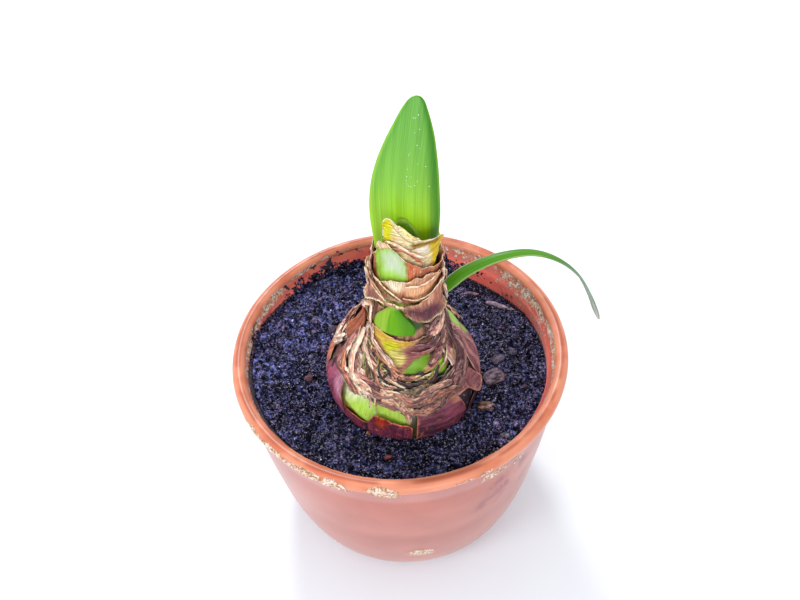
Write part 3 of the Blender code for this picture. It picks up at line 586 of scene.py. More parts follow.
def flesh_finish():
    """Living flesh of the bulb: waxy, with faint lengthwise lines."""
    made = Finish("living_flesh", Specular_IOR_Level=0.5, Subsurface_Weight=0.12, Subsurface_Scale=1.5 * MM)
    grain = made.attribute("grain", "Vector")
    lines = made.noise(made.stretched(grain, (2.2, 0.18, 1)), 1.0, 3.0)
    mottle = made.noise(made.stretched(grain, (0.5, 0.4, 1)), 1.0, 4.0)
    color = made.mix(1.0, made.attribute("tint", "Color"),
                     made.grey(made.spread(lines, 0.3, 0.7, 0.82, 1.12)), "MULTIPLY")
    color = made.mix(made.spread(mottle, 0.58, 0.75, 0.0, 0.35), color, (0.8, 0.85, 0.6))
    made.bump(lines, 0.25, 0.2 * MM)
    return made.use(Base_Color=color, Roughness=made.spread(mottle, 0.3, 0.7, 0.32, 0.5))


def root_finish():
    """Roots and what else of the bulb lies deep: cream, blotched with brown."""
    made = Finish("roots_and_plate", Specular_IOR_Level=0.35)
    blotches = made.noise(made.place(), 320.0, 4.0, 0.6)
    lines = made.noise(made.stretched(made.place(), (900, 900, 140)), 1.0, 3.0)
    color = made.mix(made.spread(blotches, 0.42, 0.62), shade(214, 200, 150), shade(150, 112, 84))
    color = made.mix(made.spread(lines, 0.5, 0.65, 0.0, 0.6), color, shade(104, 74, 62))
    made.bump(lines, 0.5, 0.4 * MM)
    return made.use(Base_Color=color, Roughness=made.spread(blotches, 0.3, 0.7, 0.45, 0.7))


def leaf_finish():
    """Leaf: parallel veins, a soft sheen, and light that comes through."""
    made = Finish("leaf_skin", Specular_IOR_Level=0.3)
    grain = made.attribute("grain", "Vector")
    veins = made.noise(made.stretched(grain, (0.9, 0.008, 1)), 1.0, 2.0)
    fine = made.noise(made.stretched(grain, (4.0, 0.03, 1)), 1.0, 3.0, 0.6)
    color = made.mix(1.0, made.attribute("tint", "Color"),
                     made.grey(made.spread(veins, 0.3, 0.7, 0.9, 1.06)), "MULTIPLY")
    color = made.mix(1.0, color, made.grey(made.spread(fine, 0.3, 0.7, 0.84, 1.1)), "MULTIPLY")
    made.bump(made.math("ADD", veins, made.math("MULTIPLY", fine, 0.4)), 0.3, 0.25 * MM)
    made.let_light_through(color, 0.28)
    return made.use(Base_Color=color, Roughness=made.spread(fine, 0.3, 0.7, 0.34, 0.46))


def clay_finish():
    """Glazed body, barer rim, lime that grew out of the clay, and soil that clings to the inside."""
    made = Finish("clay", Coat_Weight=0.12, Coat_Roughness=0.2, Specular_IOR_Level=0.32, Sheen_Weight=0.16,
                  Sheen_Roughness=0.35)
    place = made.place()
    lime_noise = made.noise(place, 850.0, 5.0, 0.75)
    lime_clumps = made.noise(place, 260.0, 4.0, 0.6)
    amount = made.math("ADD", made.attribute("lime"), made.math("MULTIPLY", lime_noise, 1.1))
    amount = made.math("ADD", amount, made.math("MULTIPLY", lime_clumps, 0.8))
    lime = made.spread(amount, 1.46, 1.54)
    cloud = made.noise(place, 55.0, 4.0)
    specks = made.noise(place, 900.0, 3.0, 0.7)
    color = made.attribute("tint", "Color")
    color = made.mix(1.0, color, made.grey(made.spread(cloud, 0.3, 0.7, 0.93, 1.06)), "MULTIPLY")
    color = made.mix(made.spread(specks, 0.66, 0.74, 0.0, 0.3), color, (0.45, 0.16, 0.12))
    chalk = made.mix(made.spread(lime_clumps, 0.42, 0.62), shade(244, 204, 160), shade(255, 240, 226))
    chalk = made.mix(made.spread(specks, 0.47, 0.58, 0.0, 0.85), chalk, shade(160, 92, 68))
    color = made.mix(lime, color, chalk)
    dirt = made.math("ADD", made.attribute("dirt"), made.math("MULTIPLY", lime_noise, 0.8))
    soiled = made.spread(dirt, 1.0, 1.12)
    color = made.mix(soiled, color, shade(44, 40, 60))
    dull = made.math("MAXIMUM", lime, soiled)
    made.bump(made.math("MULTIPLY", dull, lime_noise), 0.7, 0.6 * MM)
    rest = made.attribute("bare")
    rough_now = made.math("ADD", 0.32, made.math("MULTIPLY", rest, 0.08))
    rough_now = made.math("ADD", rough_now, made.math("MULTIPLY", dull, 0.5))
    return made.use(Base_Color=color, Roughness=rough_now)


def soil_finish():
    """Damp peat: almost black, with painted shade between its grains, painted highlights on their tops and
    painted glints.
    """
    made = Finish("peat", Specular_IOR_Level=0.06)
    place = made.place()
    grains = made.noise(place, 950.0, 4.0, 0.85)
    specks = made.node("TexVoronoi", Vector=place, Scale=1250.0)
    clumps = made.noise(place, 300.0, 4.0, 0.6)
    color = made.attribute("tint", "Color")
    color = made.mix(1.0, color, made.grey(made.spread(clumps, 0.34, 0.66, 0.2, 2.2)), "MULTIPLY")
    pits = made.noise(place, 560.0, 3.0, 0.6)
    color = made.mix(1.0, color, made.grey(made.spread(pits, 0.4, 0.6, 0.3, 1.8)), "MULTIPLY")
    # Painted shade in the hollows between the grains, painted highlights on their tops, and painted glints in
    # picked spots
    color = made.mix(made.spread(grains, 0.5, 0.4, 0.0, 0.92), color, shade(6, 7, 18))
    color = made.mix(made.math("MULTIPLY", made.spread(grains, 0.54, 0.6, 0.0, 1.0),
                               made.spread(pits, 0.42, 0.54)),
                     color, shade(190, 184, 208))
    painted_glints = made.math("MULTIPLY", made.spread(specks.outputs["Distance"], 0.3, 0.12),
                       made.spread(specks.outputs["Color"], 0.66, 0.7))
    color = made.mix(painted_glints, color, shade(226, 222, 238))
    made.bump(made.math("ADD", grains, clumps), 1.0, 1.0 * MM)
    return made.use(Base_Color=color, Roughness=made.spread(grains, 0.4, 0.7, 0.85, 0.5))


def wood_finish():
    """Bits of bark and wood: coarse fibres, cracked and dull."""
    made = Finish("weathered_wood", Specular_IOR_Level=0.3)
    place = made.place()
    fibres = made.noise(made.stretched(place, (300, 900, 900)), 1.0, 5.0, 0.65)
    spots = made.noise(place, 500.0, 4.0, 0.6)
    color = made.mix(1.0, made.attribute("tint", "Color"),
                     made.grey(made.spread(fibres, 0.3, 0.7, 0.5, 1.5)), "MULTIPLY")
    color = made.mix(made.spread(spots, 0.64, 0.74, 0.0, 0.45), color, shade(180, 168, 176))
    made.bump(fibres, 0.8, 0.6 * MM)
    return made.use(Base_Color=color, Roughness=0.85)


def drop_finish():
    # Painted glints: the specks are coloured near white for the light that glints on the water
    made = Finish("water_specks", Roughness=0.08, Specular_IOR_Level=0.6)
    painted_glint = made.spread(made.noise(made.place(), 800.0), 0.3, 0.7, 0.8, 1.0)
    return made.use(Base_Color=made.mix(1.0, shade(244, 255, 232), made.grey(painted_glint), "MULTIPLY"))


PAPER_FINISH = paper_finish()
FLESH_FINISH = flesh_finish()
ROOT_FINISH = root_finish()
LEAF_FINISH = leaf_finish()
CLAY_FINISH = clay_finish()
SOIL_FINISH = soil_finish()
WOOD_FINISH = wood_finish()
DROP_FINISH = drop_finish()


# Pot

POT_COLUMNS = 340
DRAIN_TURNS = (30, 150, 270)
DRAIN_CIRCLE = 30 * MM
DRAIN_RADIUS = 5 * MM
SALMON = shade(186, 106, 94)
PALE_SALMON = shade(204, 126, 112)
STRIPE = shade(208, 148, 142)
RIM_ORANGE = shade(238, 151, 116)
DEEP_ORANGE = shade(212, 100, 60)
RIM_LINE = shade(176, 76, 40)
INSIDE_RED = shade(236, 118, 100)
INSIDE_DARK = shade(204, 88, 80)

# Lime: (angle from +X, height, half its reach round, half its reach up or down, how much), in degrees and mm
LIME_INSIDE = [(24, 108.5, 24, 3.8, 0.62), (-8, 109.5, 22, 3.4, 0.6), (-36, 111, 16, 2.2, 0.52),
               (58, 108.5, 20, 4.5, 0.52), (82, 108.5, 14, 4, 0.5), (118, 111, 12, 1.6, 0.5),
               (133, 110.5, 12, 1.8, 0.62),
               (152, 109.5, 12, 3.2, 0.64), (172, 109, 16, 3.4, 0.62), (190, 109.5, 14, 2.6, 0.6),
               (20, 103, 34, 5, 0.47), (100, 111.5, 20, 1.6, 0.48), (214, 111.5, 14, 1.6, 0.5),
               (62, 102, 18, 4, 0.46),
               (262, 112.3, 60, 0.9, 0.38), (0, 100, 16, 5, 0.3), (160, 104, 24, 4, 0.32)]
LIME_OUTSIDE = [(215, 111, 6, 2.4, 0.66), (226, 110.8, 8, 2.8, 0.74), (238, 110.8, 8, 2.8, 0.78),
                (247, 110.8, 5, 2.6, 0.74), (228, 101, 12, 3.4, 0.8), (243, 101.5, 9, 2.4, 0.7),
                (262, 111.4, 5.5, 2.4, 0.74), (262.5, 101.8, 5, 2.0, 0.7), (286, 111.4, 4, 1.0, 0.5),
                (293, 111.6, 4, 1.2, 0.56), (300, 98, 9, 2.4, 0.58), (310, 95, 4, 3.0, 0.5),
                (273, 33.5, 5.6, 4, 1.2), (203, 92, 5, 12, 0.5), (198, 78, 3, 10, 0.44),
                (338, 88, 4, 14, 0.5),
                (326, 98, 7, 5, 0.42), (60, 109, 12, 2.0, 0.5), (120, 109, 9, 2.0, 0.6),
                (160, 109.5, 12, 2.0, 0.6),
                (20, 109.5, 8, 2.0, 0.5), (140, 70, 4, 5, 0.5), (50, 40, 5, 4, 0.55)]
SCUFFS = [(204, 88, 4, 14, 1.2), (197, 62, 3, 14, 1), (336, 84, 3.5, 16, 1), (342, 60, 2.5, 10, 0.8),
          (310, 100, 12, 2, 0.6), (228, 100, 14, 2.5, 0.8)]
STAINS = [(305, 84, 7, 7, 1), (311, 92, 6, 6, 1), (299, 72, 6, 6, 0.8), (318, 70, 5, 7, 0.6)]
SPLASHES = [(120, 106, 12, 9, 1.2), (106, 107, 6, 6, 1), (140, 107, 7, 6, 1), (168, 107, 12, 6, 0.9),
            (196, 106, 8, 6, 0.8), (70, 101, 12, 7, 1.2), (30, 98, 14, 4, 0.8), (225, 107, 14, 4, 0.7)]


def wall_radius(height):
    return smooth(BODY, np.asarray(height) / MM) * MM


def pot_profile():
    """Radius and height from the middle of the inner floor, over the rim, to the middle of the underside."""
    floor = [(r * MM, POT_FLOOR) for r in (0, 15, 30, 42, 50)] + [(55 * MM, POT_FLOOR + 0.8 * MM)]
    heights = np.concatenate([np.linspace(10, 88, 16), np.linspace(90, 104, 15)]) * MM
    inner = list(zip(wall_radius(heights) - POT_WALL, heights))
    middle = (RIM_RADIUS - RIM_ROLL, POT_HEIGHT - RIM_ROLL)
    turns = np.radians(np.linspace(205, -75, 29))
    roll = [(middle[0] + RIM_ROLL * math.cos(t), middle[1] + RIM_ROLL * math.sin(t)) for t in turns]
    lip = [tuple(np.array(inner[-1]) + (np.array(roll[0]) - inner[-1]) * share)
           for share in np.linspace(0.1, 0.9, 7)]
    heights = np.concatenate([np.linspace(107, 96, 12), np.linspace(94, 13, 28),
                              [9, 6, 4.4, 2.8, 1.2, 0.5, 0]]) * MM
    outer = list(zip(wall_radius(heights), heights))
    under = [(r * MM, 0) for r in (54, 40, 20, 0)]
    return np.array(floor + inner + lip + roll + outer + under), len(floor + inner + lip)


def marks(spots, angle, height):
    """The most that any of a list of spots reaches at each place."""
    most = np.zeros(np.broadcast(angle, height).shape)
    for middle, level, wide, tall, much in spots:
        away = (angle - middle + 180) % 360 - 180
        distance = np.hypot(away / wide, (height / MM - level) / tall)
        most = np.maximum(most, much * ramp(1.5 - distance))
    return most


def make_pot():
    profile, inner_count = pot_profile()
    angle = np.linspace(0, 360, POT_COLUMNS, endpoint=False)[:, None]
    radius, height = profile[:, 0][None], profile[:, 1][None]
    inner = (np.arange(len(profile)) < inner_count + 12)[None]
    turn = np.radians(angle)
    lime = np.where(inner, 1.02 * marks(LIME_INSIDE, angle, height),
                    1.15 * marks(LIME_OUTSIDE, angle, height))
    x, y = np.cos(turn), np.sin(turn)

    def mottled(wide, tall, seed=0):
        """Values from about -1 to 1 that change over these distances in mm."""
        return layered(x * radius / (wide * MM), y * radius / (wide * MM), height / (tall * MM) + seed)

    clumps = mottled(1.3, 1.3)
    grown = 0.45 * MM * lime * ramp(0.5 + clumps) * (radius > 20 * MM)
    uneven = 0.12 * MM * rough(x * 3, y * 3, height / (25 * MM)) * (height > 0.02)
    out = radius + uneven + np.where(inner, -grown, grown)
    up = height + grown * 0.3 * (height > 0.1)
    points = np.stack(np.broadcast_arrays(out * x, out * y, up), axis=-1)

    shape = points.shape[:2]
    bare = np.broadcast_to(ramp((height - 102.4 * MM) / (1.6 * MM)), shape)
    orange = np.where(inner & (height < 109 * MM), 0, bare)
    tint = np.broadcast_to(SALMON, (*shape, 3)).copy()
    bands = 0.5 + 0.5 * rough(x * 0.6, y * 0.6, height / (9 * MM))
    tint = blend(tint, PALE_SALMON, np.broadcast_to(bands, shape))
    tint = blend(tint, PALE_SALMON, 0.7 * ramp((60 * MM - height) / (50 * MM)) + 0 * angle)
    tint = blend(tint, STRIPE, 0.5 * ramp((26 * MM - height) / (24 * MM)) + 0 * angle)
    # Painted reflection: a paler stripe in the groove under the rim
    tint = blend(tint, STRIPE, 0.7 * within(height, 97 * MM, 101.5 * MM, 2.5 * MM) + 0 * angle)
    tint = blend(tint, RIM_ORANGE, orange)
    patches = ramp(0.3 + 1.4 * mottled(9, 5, 40))
    tint = blend(tint, DEEP_ORANGE, 0.6 * orange * patches)
    along_roll = np.arange(len(profile))[None] - inner_count
    line = ramp(1.3 - np.abs(along_roll - 11) / 2.5) * ramp(0.75 + layered(x * 9, y * 9, 4.0))
    tint = blend(tint, RIM_LINE, 0.8 * line)
    inside_wall = np.broadcast_to(inner, shape) * ramp((110 * MM - height) / (2 * MM))
    tint = blend(tint, INSIDE_RED, inside_wall)
    tint = blend(tint, INSIDE_DARK, 0.7 * inside_wall * patches)
    # Painted light: the inner wall is made lighter towards the soil, to undo the shade that falls there
    tint = tint * (1 + 0.55 * inside_wall * ramp((106 * MM - height) / (3 * MM)))[..., None]
    blotch = ramp(0.5 + 2 * mottled(4, 4, 9))
    tint = blend(tint, shade(150, 56, 66), 0.9 * marks(STAINS, angle, height) * blotch * ~inner)
    dashes = ramp(3 * mottled(1.5, 2.5, 70) - 0.4)
    tint = blend(tint, shade(70, 44, 52), 0.8 * marks(SCUFFS, angle, height) * dashes * ~inner)
    soil_line = smooth(SOIL_EDGE, angle % 360) * MM
    dirt = ramp(1.1 - (height - soil_line) / (5 * MM)) * 0.75
    thrown = ramp(0.5 + 1.5 * mottled(3, 3, 33))
    dirt = np.broadcast_to(inner, shape) * np.maximum(dirt, 0.8 * thrown * marks(SPLASHES, angle, height))
    faces = grid_faces(POT_COLUMNS, len(profile), closed=True)
    keep = np.where(np.hypot(points[..., 0], points[..., 1]) < 0.01 * MM, 1, 0).reshape(-1)[faces].sum(1) < 2
    pot = build("pot_fired", points, faces[keep], CLAY_FINISH, tint=tint, lime=lime, bare=bare, dirt=dirt)
    close_poles(pot)
    cut_drain_holes(pot)
    dress(pot, "glazed_clay", "pot")


def cut_drain_holes(pot):
    """Three round holes through the floor, as in the part's source."""
    work = bmesh.new()
    for turn in DRAIN_TURNS:
        x, y = DRAIN_CIRCLE * math.cos(math.radians(turn)), DRAIN_CIRCLE * math.sin(math.radians(turn))
        middle = Matrix.Translation((x, y, POT_FLOOR / 2))
        bmesh.ops.create_cone(work, cap_ends=True, segments=32, radius1=DRAIN_RADIUS, radius2=DRAIN_RADIUS,
                              depth=2 * POT_FLOOR, matrix=middle)
    mesh = bpy.data.meshes.new("drain_holes")
    work.to_mesh(mesh)
    work.free()
    holes = bpy.data.objects.new("drain_holes", mesh)
    bpy.context.scene.collection.objects.link(holes)
    cut = pot.modifiers.new("drain", "BOOLEAN")
    cut.operation = "DIFFERENCE"
    cut.object = holes
    bpy.context.view_layer.update()
    whole = pot.data
    pot.data = bpy.data.meshes.new_from_object(pot.evaluated_get(bpy.context.evaluated_depsgraph_get()))
    pot.modifiers.clear()
    bpy.data.objects.remove(holes)
    bpy.data.meshes.remove(mesh)
    bpy.data.meshes.remove(whole)


def close_poles(piece):
    """Joins the points that meet on the axis, and fills what is left open there."""
    work = bmesh.new()
    work.from_mesh(piece.data)
    bmesh.ops.remove_doubles(work, verts=work.verts, dist=0.001 * MM)
    edges = [edge for edge in work.edges if edge.is_boundary]
    if edges:
        bmesh.ops.holes_fill(work, edges=edges, sides=0)
    bmesh.ops.recalc_face_normals(work, faces=work.faces)
    work.to_mesh(piece.data)
    work.free()


# Soil

SOIL_COLUMNS = 400
SOIL_ROWS = 100
PEAT = shade(21, 25, 58)
PEAT_LIGHT = shade(67, 71, 118)
PEAT_BROWN = shade(70, 60, 88)
PALE_GRAIN = shade(214, 206, 222)
FIBRE = shade(132, 124, 150)
PALE_FIBRE = shade(196, 186, 190)
BULB_CLEAR = 34 * MM
CRUMBS = 5600
CRUMBS_AT_BULB = 500
CLODS = 150
CRUMBS_ON_WALL = 2000
FIBRES = 900

# Where soil clings to the wall: middle and reach round the pot in degrees, and height in mm
WALL_CLUSTERS = [(112, 6, 102.5), (140, 16, 102.5), (178, 12, 102.5), (70, 9, 98), (74, 6, 101)]

# Longer fibres in the places where they are seen, in mm
PLACED_FIBRES = [[(62, 29), (64, 27.5), (64.8, 24), (64.4, 20)], [(44, 2), (49, 5), (55, 6), (60, 4)],
                 [(40, -8), (43, -3), (49, -1), (54, -4)], [(38, 44), (33, 47), (27, 47)]]


def soil_height(x, y):
    """The height of the solid's top, as in the source of the part."""
    edge = smooth(SOIL_EDGE, np.degrees(np.arctan2(y, x)) % 360) * MM
    out = ramp((np.hypot(x, y) - SOIL_FLAT_RADIUS) / (wall_radius(LIP_TOP) - SOIL_FLAT_RADIUS))
    bumps = np.zeros(np.shape(x))
    flat = bumps.reshape(-1)
    for i, (px, py) in enumerate(zip(np.ravel(x), np.ravel(y))):
        flat[i] = sum(tall * noise.noise(Vector((px / wide, py / wide, wide / MM))) for tall, wide in LUMPS)
    return SOIL_MIDDLE + (edge - SOIL_MIDDLE) * out + bumps


def crumbly(x, y):
    """Finer relief on top of it: clods, crumbs and pits."""
    clods = layered(x / (6 * MM), y / (6 * MM), 3.0)
    crumbs = layered(x / (2.0 * MM), y / (2.0 * MM), 8.0)
    grains = layered(x / (0.9 * MM), y / (0.9 * MM), 21.0, 2)
    return MM * (1.7 * clods + 1.1 * crumbs + 0.45 * grains)


def height_at(surface, x, y):
    """One height of a surface that is given as a function of arrays."""
    return float(surface(np.array([x]), np.array([y]))[0])


def make_soil():
    top_radius = wall_radius(LIP_TOP) - POT_WALL - 0.1 * MM
    turn = np.linspace(0, 2 * math.pi, SOIL_COLUMNS, endpoint=False)[:, None]
    radius = np.linspace(0, 1, SOIL_ROWS)[None] ** 0.8 * top_radius
    x, y = np.cos(turn) * radius, np.sin(turn) * radius
    relief = crumbly(x, y) * ramp((top_radius - radius) / (2 * MM) + 0.3)
    top = np.stack(np.broadcast_arrays(x, y, soil_height(x, y) + relief), axis=-1)
    low = np.array([85, 60, 30, 12]) * MM
    wall = wall_radius(low) - POT_WALL - GAP
    sides = np.stack(np.broadcast_arrays(np.cos(turn) * wall, np.sin(turn) * wall, low[None]), axis=-1)
    floor_radius = np.array([54, 30, 0.0])[None] * MM
    floor = np.stack(np.broadcast_arrays(np.cos(turn) * floor_radius, np.sin(turn) * floor_radius,
                                         POT_FLOOR + GAP), axis=-1)
    points = np.concatenate([top, sides, floor], axis=1)
    px, py = points[..., 0], points[..., 1]
    tone = ramp(0.5 + 1.3 * layered(px / (7 * MM), py / (7 * MM), 2.0))
    tint = blend(np.broadcast_to(PEAT, (*tone.shape, 3)), PEAT_LIGHT, 0.75 * tone)
    brown = ramp(2.2 * layered(px / (5 * MM), py / (5 * MM), 31.0) - 0.3)
    tint = blend(tint, PEAT_BROWN, 0.5 * brown)
    lighter_left = 1 + 1.3 * ramp((0.8 * py - px - 5 * MM) / (60 * MM))
    tint = tint * lighter_left[..., None]
    faces = grid_faces(SOIL_COLUMNS, points.shape[1], closed=True)
    soil = build("soil_bed", points, faces, SOIL_FINISH, tint=tint)
    close_poles(soil)
    dress(soil, "soil", "soil")


def free_spots(draw, count):
    """Random places on the soil, clear of the bulb and the wall."""
    reach = wall_radius(LIP_TOP) - POT_WALL - 1.0 * MM
    spots = []
    while len(spots) < count:
        x, y = draw.uniform(-reach, reach), draw.uniform(-reach, reach)
        if math.hypot(x, y) <= reach and math.hypot(x - GLOBE.x, y - GLOBE.y) >= BULB_CLEAR:
            spots.append((x, y))
    return np.array(spots)


def pebble_shapes(subdivisions=1):
    """The points and faces of a unit ball with 20 faces, or 4 times as many for each subdivision more."""
    work = bmesh.new()
    bmesh.ops.create_icosphere(work, subdivisions=subdivisions, radius=1)
    points = np.array([v.co[:] for v in work.verts])
    faces = np.array([[v.index for v in f.verts] for f in work.faces])
    work.free()
    return points, faces


def jittered(ball, x, y):
    """A ball's points moved in and out, in a way of its own at each place."""
    jitter = 1 + 0.35 * rough(ball[:, 0] * 2 + x * 900, ball[:, 1] * 2 + y * 900, ball[:, 2] * 2)
    return ball * jitter[:, None]


def crumb_tone(draw, size):
    """Most crumbs are dark, some bluish or brown, and a few of the small ones pale."""
    pick = draw.random()
    tone = PEAT * draw.uniform(0.6, 1.8)
    if pick > 0.72:
        tone = PEAT_LIGHT * draw.uniform(0.8, 1.3)
    if pick > 0.9:
        tone = PEAT_BROWN * draw.uniform(1.2, 2.6)
    if pick > 0.9 and size < 0.65 * MM:
        tone = PALE_GRAIN * draw.uniform(0.4, 1.0)
    return tone


def loose_crumbs(draw):
    ball, faces = pebble_shapes()
    spots = free_spots(draw, CRUMBS)
    ground = soil_height(spots[:, 0], spots[:, 1]) + crumbly(spots[:, 0], spots[:, 1])
    for (x, y), z in zip(spots, ground):
        size = min(0.18 * MM + draw.expovariate(1 / (0.28 * MM)), 2.0 * MM)
        stretch = np.array([draw.uniform(0.6, 1.5), draw.uniform(0.6, 1.3), draw.uniform(0.5, 1.0)]) * size
        turn = Matrix.Rotation(draw.uniform(0, 6.28), 3, "Z")
        turn = np.array(turn @ Matrix.Rotation(draw.uniform(-0.7, 0.7), 3, "X"))
        points = (jittered(ball, x, y) * stretch) @ turn.T + (x, y, z + 0.3 * size)
        yield points, faces, crumb_tone(draw, size), points


def crumbs_at_bulb(draw):
    ball, faces = pebble_shapes()
    for _ in range(CRUMBS_AT_BULB):
        turn, out = draw.uniform(0, 2 * math.pi), draw.uniform(32.6, 36.5) * MM
        x, y = GLOBE.x + out * math.cos(turn), GLOBE.y + out * math.sin(turn)
        size = draw.uniform(0.4, 1.5) * MM
        z = height_at(soil_height, x, y) + draw.uniform(-0.3, 0.9) * MM
        points = jittered(ball, x, y) * size * draw.uniform(0.7, 1.2) + (x, y, z)
        yield points, faces, PEAT * draw.uniform(0.6, 2.4), points


def clods(draw):
    ball, faces = pebble_shapes(2)
    for _ in range(CLODS):
        x, y = free_spots(draw, 1)[0]
        size = draw.uniform(0.9, 2.6) * MM * (0.75 if x < 0 and y < 0 else 1)
        z = height_at(soil_height, x, y) + height_at(crumbly, x, y)
        lumps = 1 + 0.55 * layered(ball[:, 0] * 1.6 + x * 900, ball[:, 1] * 1.6 + y * 900, ball[:, 2] * 1.6)
        flat = np.array([draw.uniform(0.8, 1.4), draw.uniform(0.8, 1.2), draw.uniform(0.5, 0.8)])
        points = ball * lumps[:, None] * flat * size + (x, y, z)
        tone = blend(np.array([PEAT * 1.6]), PEAT_BROWN * 1.7, np.array([draw.random()]))[0]
        yield points, faces, tone * draw.uniform(0.7, 1.4), points


def crumbs_on_wall(draw):
    ball, faces = pebble_shapes()
    for _ in range(CRUMBS_ON_WALL):
        middle, reach, base = draw.choice(WALL_CLUSTERS)
        turn = math.radians(draw.gauss(middle, reach))
        height = (base + draw.uniform(-3.5, 5.5) * draw.random() + 1.5 * math.sin(turn * 9)) * MM
        out = wall_radius(LIP_TOP) - POT_WALL + max(height - LIP_TOP, 0) * 0.49 - 0.3 * MM
        size = min(0.2 * MM + draw.expovariate(1 / (0.3 * MM)), 1.3 * MM)
        x, y = out * math.cos(turn), out * math.sin(turn)
        points = jittered(ball, x, y) * size + (x, y, height)
        yield points, faces, PEAT * draw.uniform(0.7, 2.6), points


def make_crumbs():
    """Loose crumbs, grains and clods on the soil, round the bulb and on the wall."""
    draw = random.Random(SEED + 1)
    shapes = []
    for kind in (loose_crumbs, crumbs_at_bulb, clods, crumbs_on_wall):
        shapes.extend(kind(draw))
    points, faces, tint, _ = join(shapes)
    crumbs = build("soil_crumbs", points, faces, SOIL_FINISH, tint=tint)
    dress(crumbs, "soil")


def thread(path, radii, tone):
    """A thin three-sided tube along a path."""
    path = np.asarray(path)
    along = np.gradient(path, axis=0)
    side = np.cross(along, (0.13, 0.21, 1.0))
    side /= np.linalg.norm(side, axis=1, keepdims=True) + 1e-12
    other = np.cross(along, side)
    other /= np.linalg.norm(other, axis=1, keepdims=True) + 1e-12
    turns = np.radians([90, 210, 330])
    points = np.stack([path + np.asarray(radii)[:, None] * (side * math.cos(t) + other * math.sin(t))
                       for t in turns])
    return points, grid_faces(3, len(path), closed=True), tone, points.reshape(-1, 3)


def make_fibres():
    """Fine roots and peat fibres that lie in loose curves on the soil."""
    draw = random.Random(SEED + 2)
    shapes = []
    spots = free_spots(draw, FIBRES)
    steps = 7
    for x, y in spots:
        length = min(1.2 * MM + draw.expovariate(1 / (1.6 * MM)), 9 * MM)
        heading = draw.uniform(0, 2 * math.pi)
        bend = draw.uniform(-1.6, 1.6)
        path = []
        for _ in range(steps):
            path.append((x, y))
            x += math.cos(heading) * length / steps
            y += math.sin(heading) * length / steps
            heading += bend / steps + draw.uniform(-0.25, 0.25)
        path = np.array(path)
        if math.hypot(x, y) > wall_radius(LIP_TOP) - POT_WALL - 0.5 * MM:
            continue
        ground = soil_height(path[:, 0], path[:, 1]) + crumbly(path[:, 0], path[:, 1])
        arch = draw.uniform(0.3, 1.4) * MM * np.sin(np.linspace(0.15, 2.9, steps))
        width = draw.uniform(0.07, 0.17) * MM
        tone = blend(np.array([FIBRE]), PALE_FIBRE, np.array([draw.random() ** 3]))[0]
        tone = tone * draw.uniform(0.15, 0.8)
        widths = np.linspace(width, width * 0.5, steps)
        shapes.append(thread(np.column_stack([path, ground + arch]), widths, tone))
    steps = 14
    for placed in PLACED_FIBRES:
        at = np.linspace(0, len(placed) - 1, steps)
        path = np.column_stack([smooth(list(enumerate(values)), at) * MM for values in zip(*placed)])
        ground = soil_height(path[:, 0], path[:, 1]) + crumbly(path[:, 0], path[:, 1]) + 0.5 * MM
        widths = np.linspace(0.3, 0.12, steps) * MM
        shapes.append(thread(np.column_stack([path, ground]), widths, FIBRE * 1.6))
    points, faces, tint, _ = join(shapes)
    fibres = build("soil_fibres", points, faces, SOIL_FINISH, tint=tint)
    dress(fibres, "soil")


# Skins and flesh


def bulb_grain(angle, height, lie, seed):
    """Where a point lies in the grain, in mm across and along the fibres."""
    radius = 26 * MM
    around = np.radians(angle) * radius / MM
    up = height / MM
    if lie == "round":
        return np.stack(np.broadcast_arrays(up * 1.6, around * 0.6, seed), axis=-1)
    return np.stack(np.broadcast_arrays(around, up, seed), axis=-1)


def outline_weight(outline, soft, angle, height, seed):
    middle = sum(h for _, h in outline) / len(outline) * MM
    radius = float(flesh_radius(middle)) / MM
    flat = [(math.radians(a) * radius, h) for a, h in outline]
    x, y = np.radians(angle) * radius + 0 * height, height / MM + 0 * angle
    wander = 0.7 * layered(x / 1.7, y / 1.7, seed)
    return ramp(0.5 + (inside(flat, x, y) + wander) / (2 * soft))


def paint(base, other, rim, lie, stains_and_painted_light, angle, height, edge, seed):
    """The colours of a skin at its points, with its stains, painted shade and painted sheen, and how far these
    are sunk.
    """
    x, y = np.cos(np.radians(angle)) * 20, np.sin(np.radians(angle)) * 20
    up = height / MM
    if lie == "round":
        streak = layered(x / 7, y / 7, up / 1.3 + seed)
    else:
        streak = layered(x / 1.6, y / 1.6, up / 11 + seed)
    cloud = layered(x / 5, y / 5, up / 5 + seed + 50)
    colors = np.broadcast_to(base, (*streak.shape, 3))
    colors = blend(colors, other, ramp(0.5 + 1.1 * streak + 0.5 * cloud))
    pale = ramp(layered(x / 1.1, y / 1.1, up / 2.6 + seed + 90) * 2 - 0.55)
    colors = blend(colors, rim, 0.6 * pale)
    sunk = np.zeros(streak.shape)
    for outline, tone, soft, depth in stains_and_painted_light:
        weight = outline_weight(outline, soft, angle, height, seed)
        own = np.asarray(tone) * (1 + 0.16 * streak)[..., None]
        colors = colors + (own - colors) * weight[..., None]
        sunk = sunk + depth * MM * weight
    near = ramp(1.25 - edge / (0.5 * MM) + 0.5 * cloud)
    return vivid(blend(colors, rim, near * ramp(0.55 + 1.2 * cloud + 0.6 * streak))), sunk


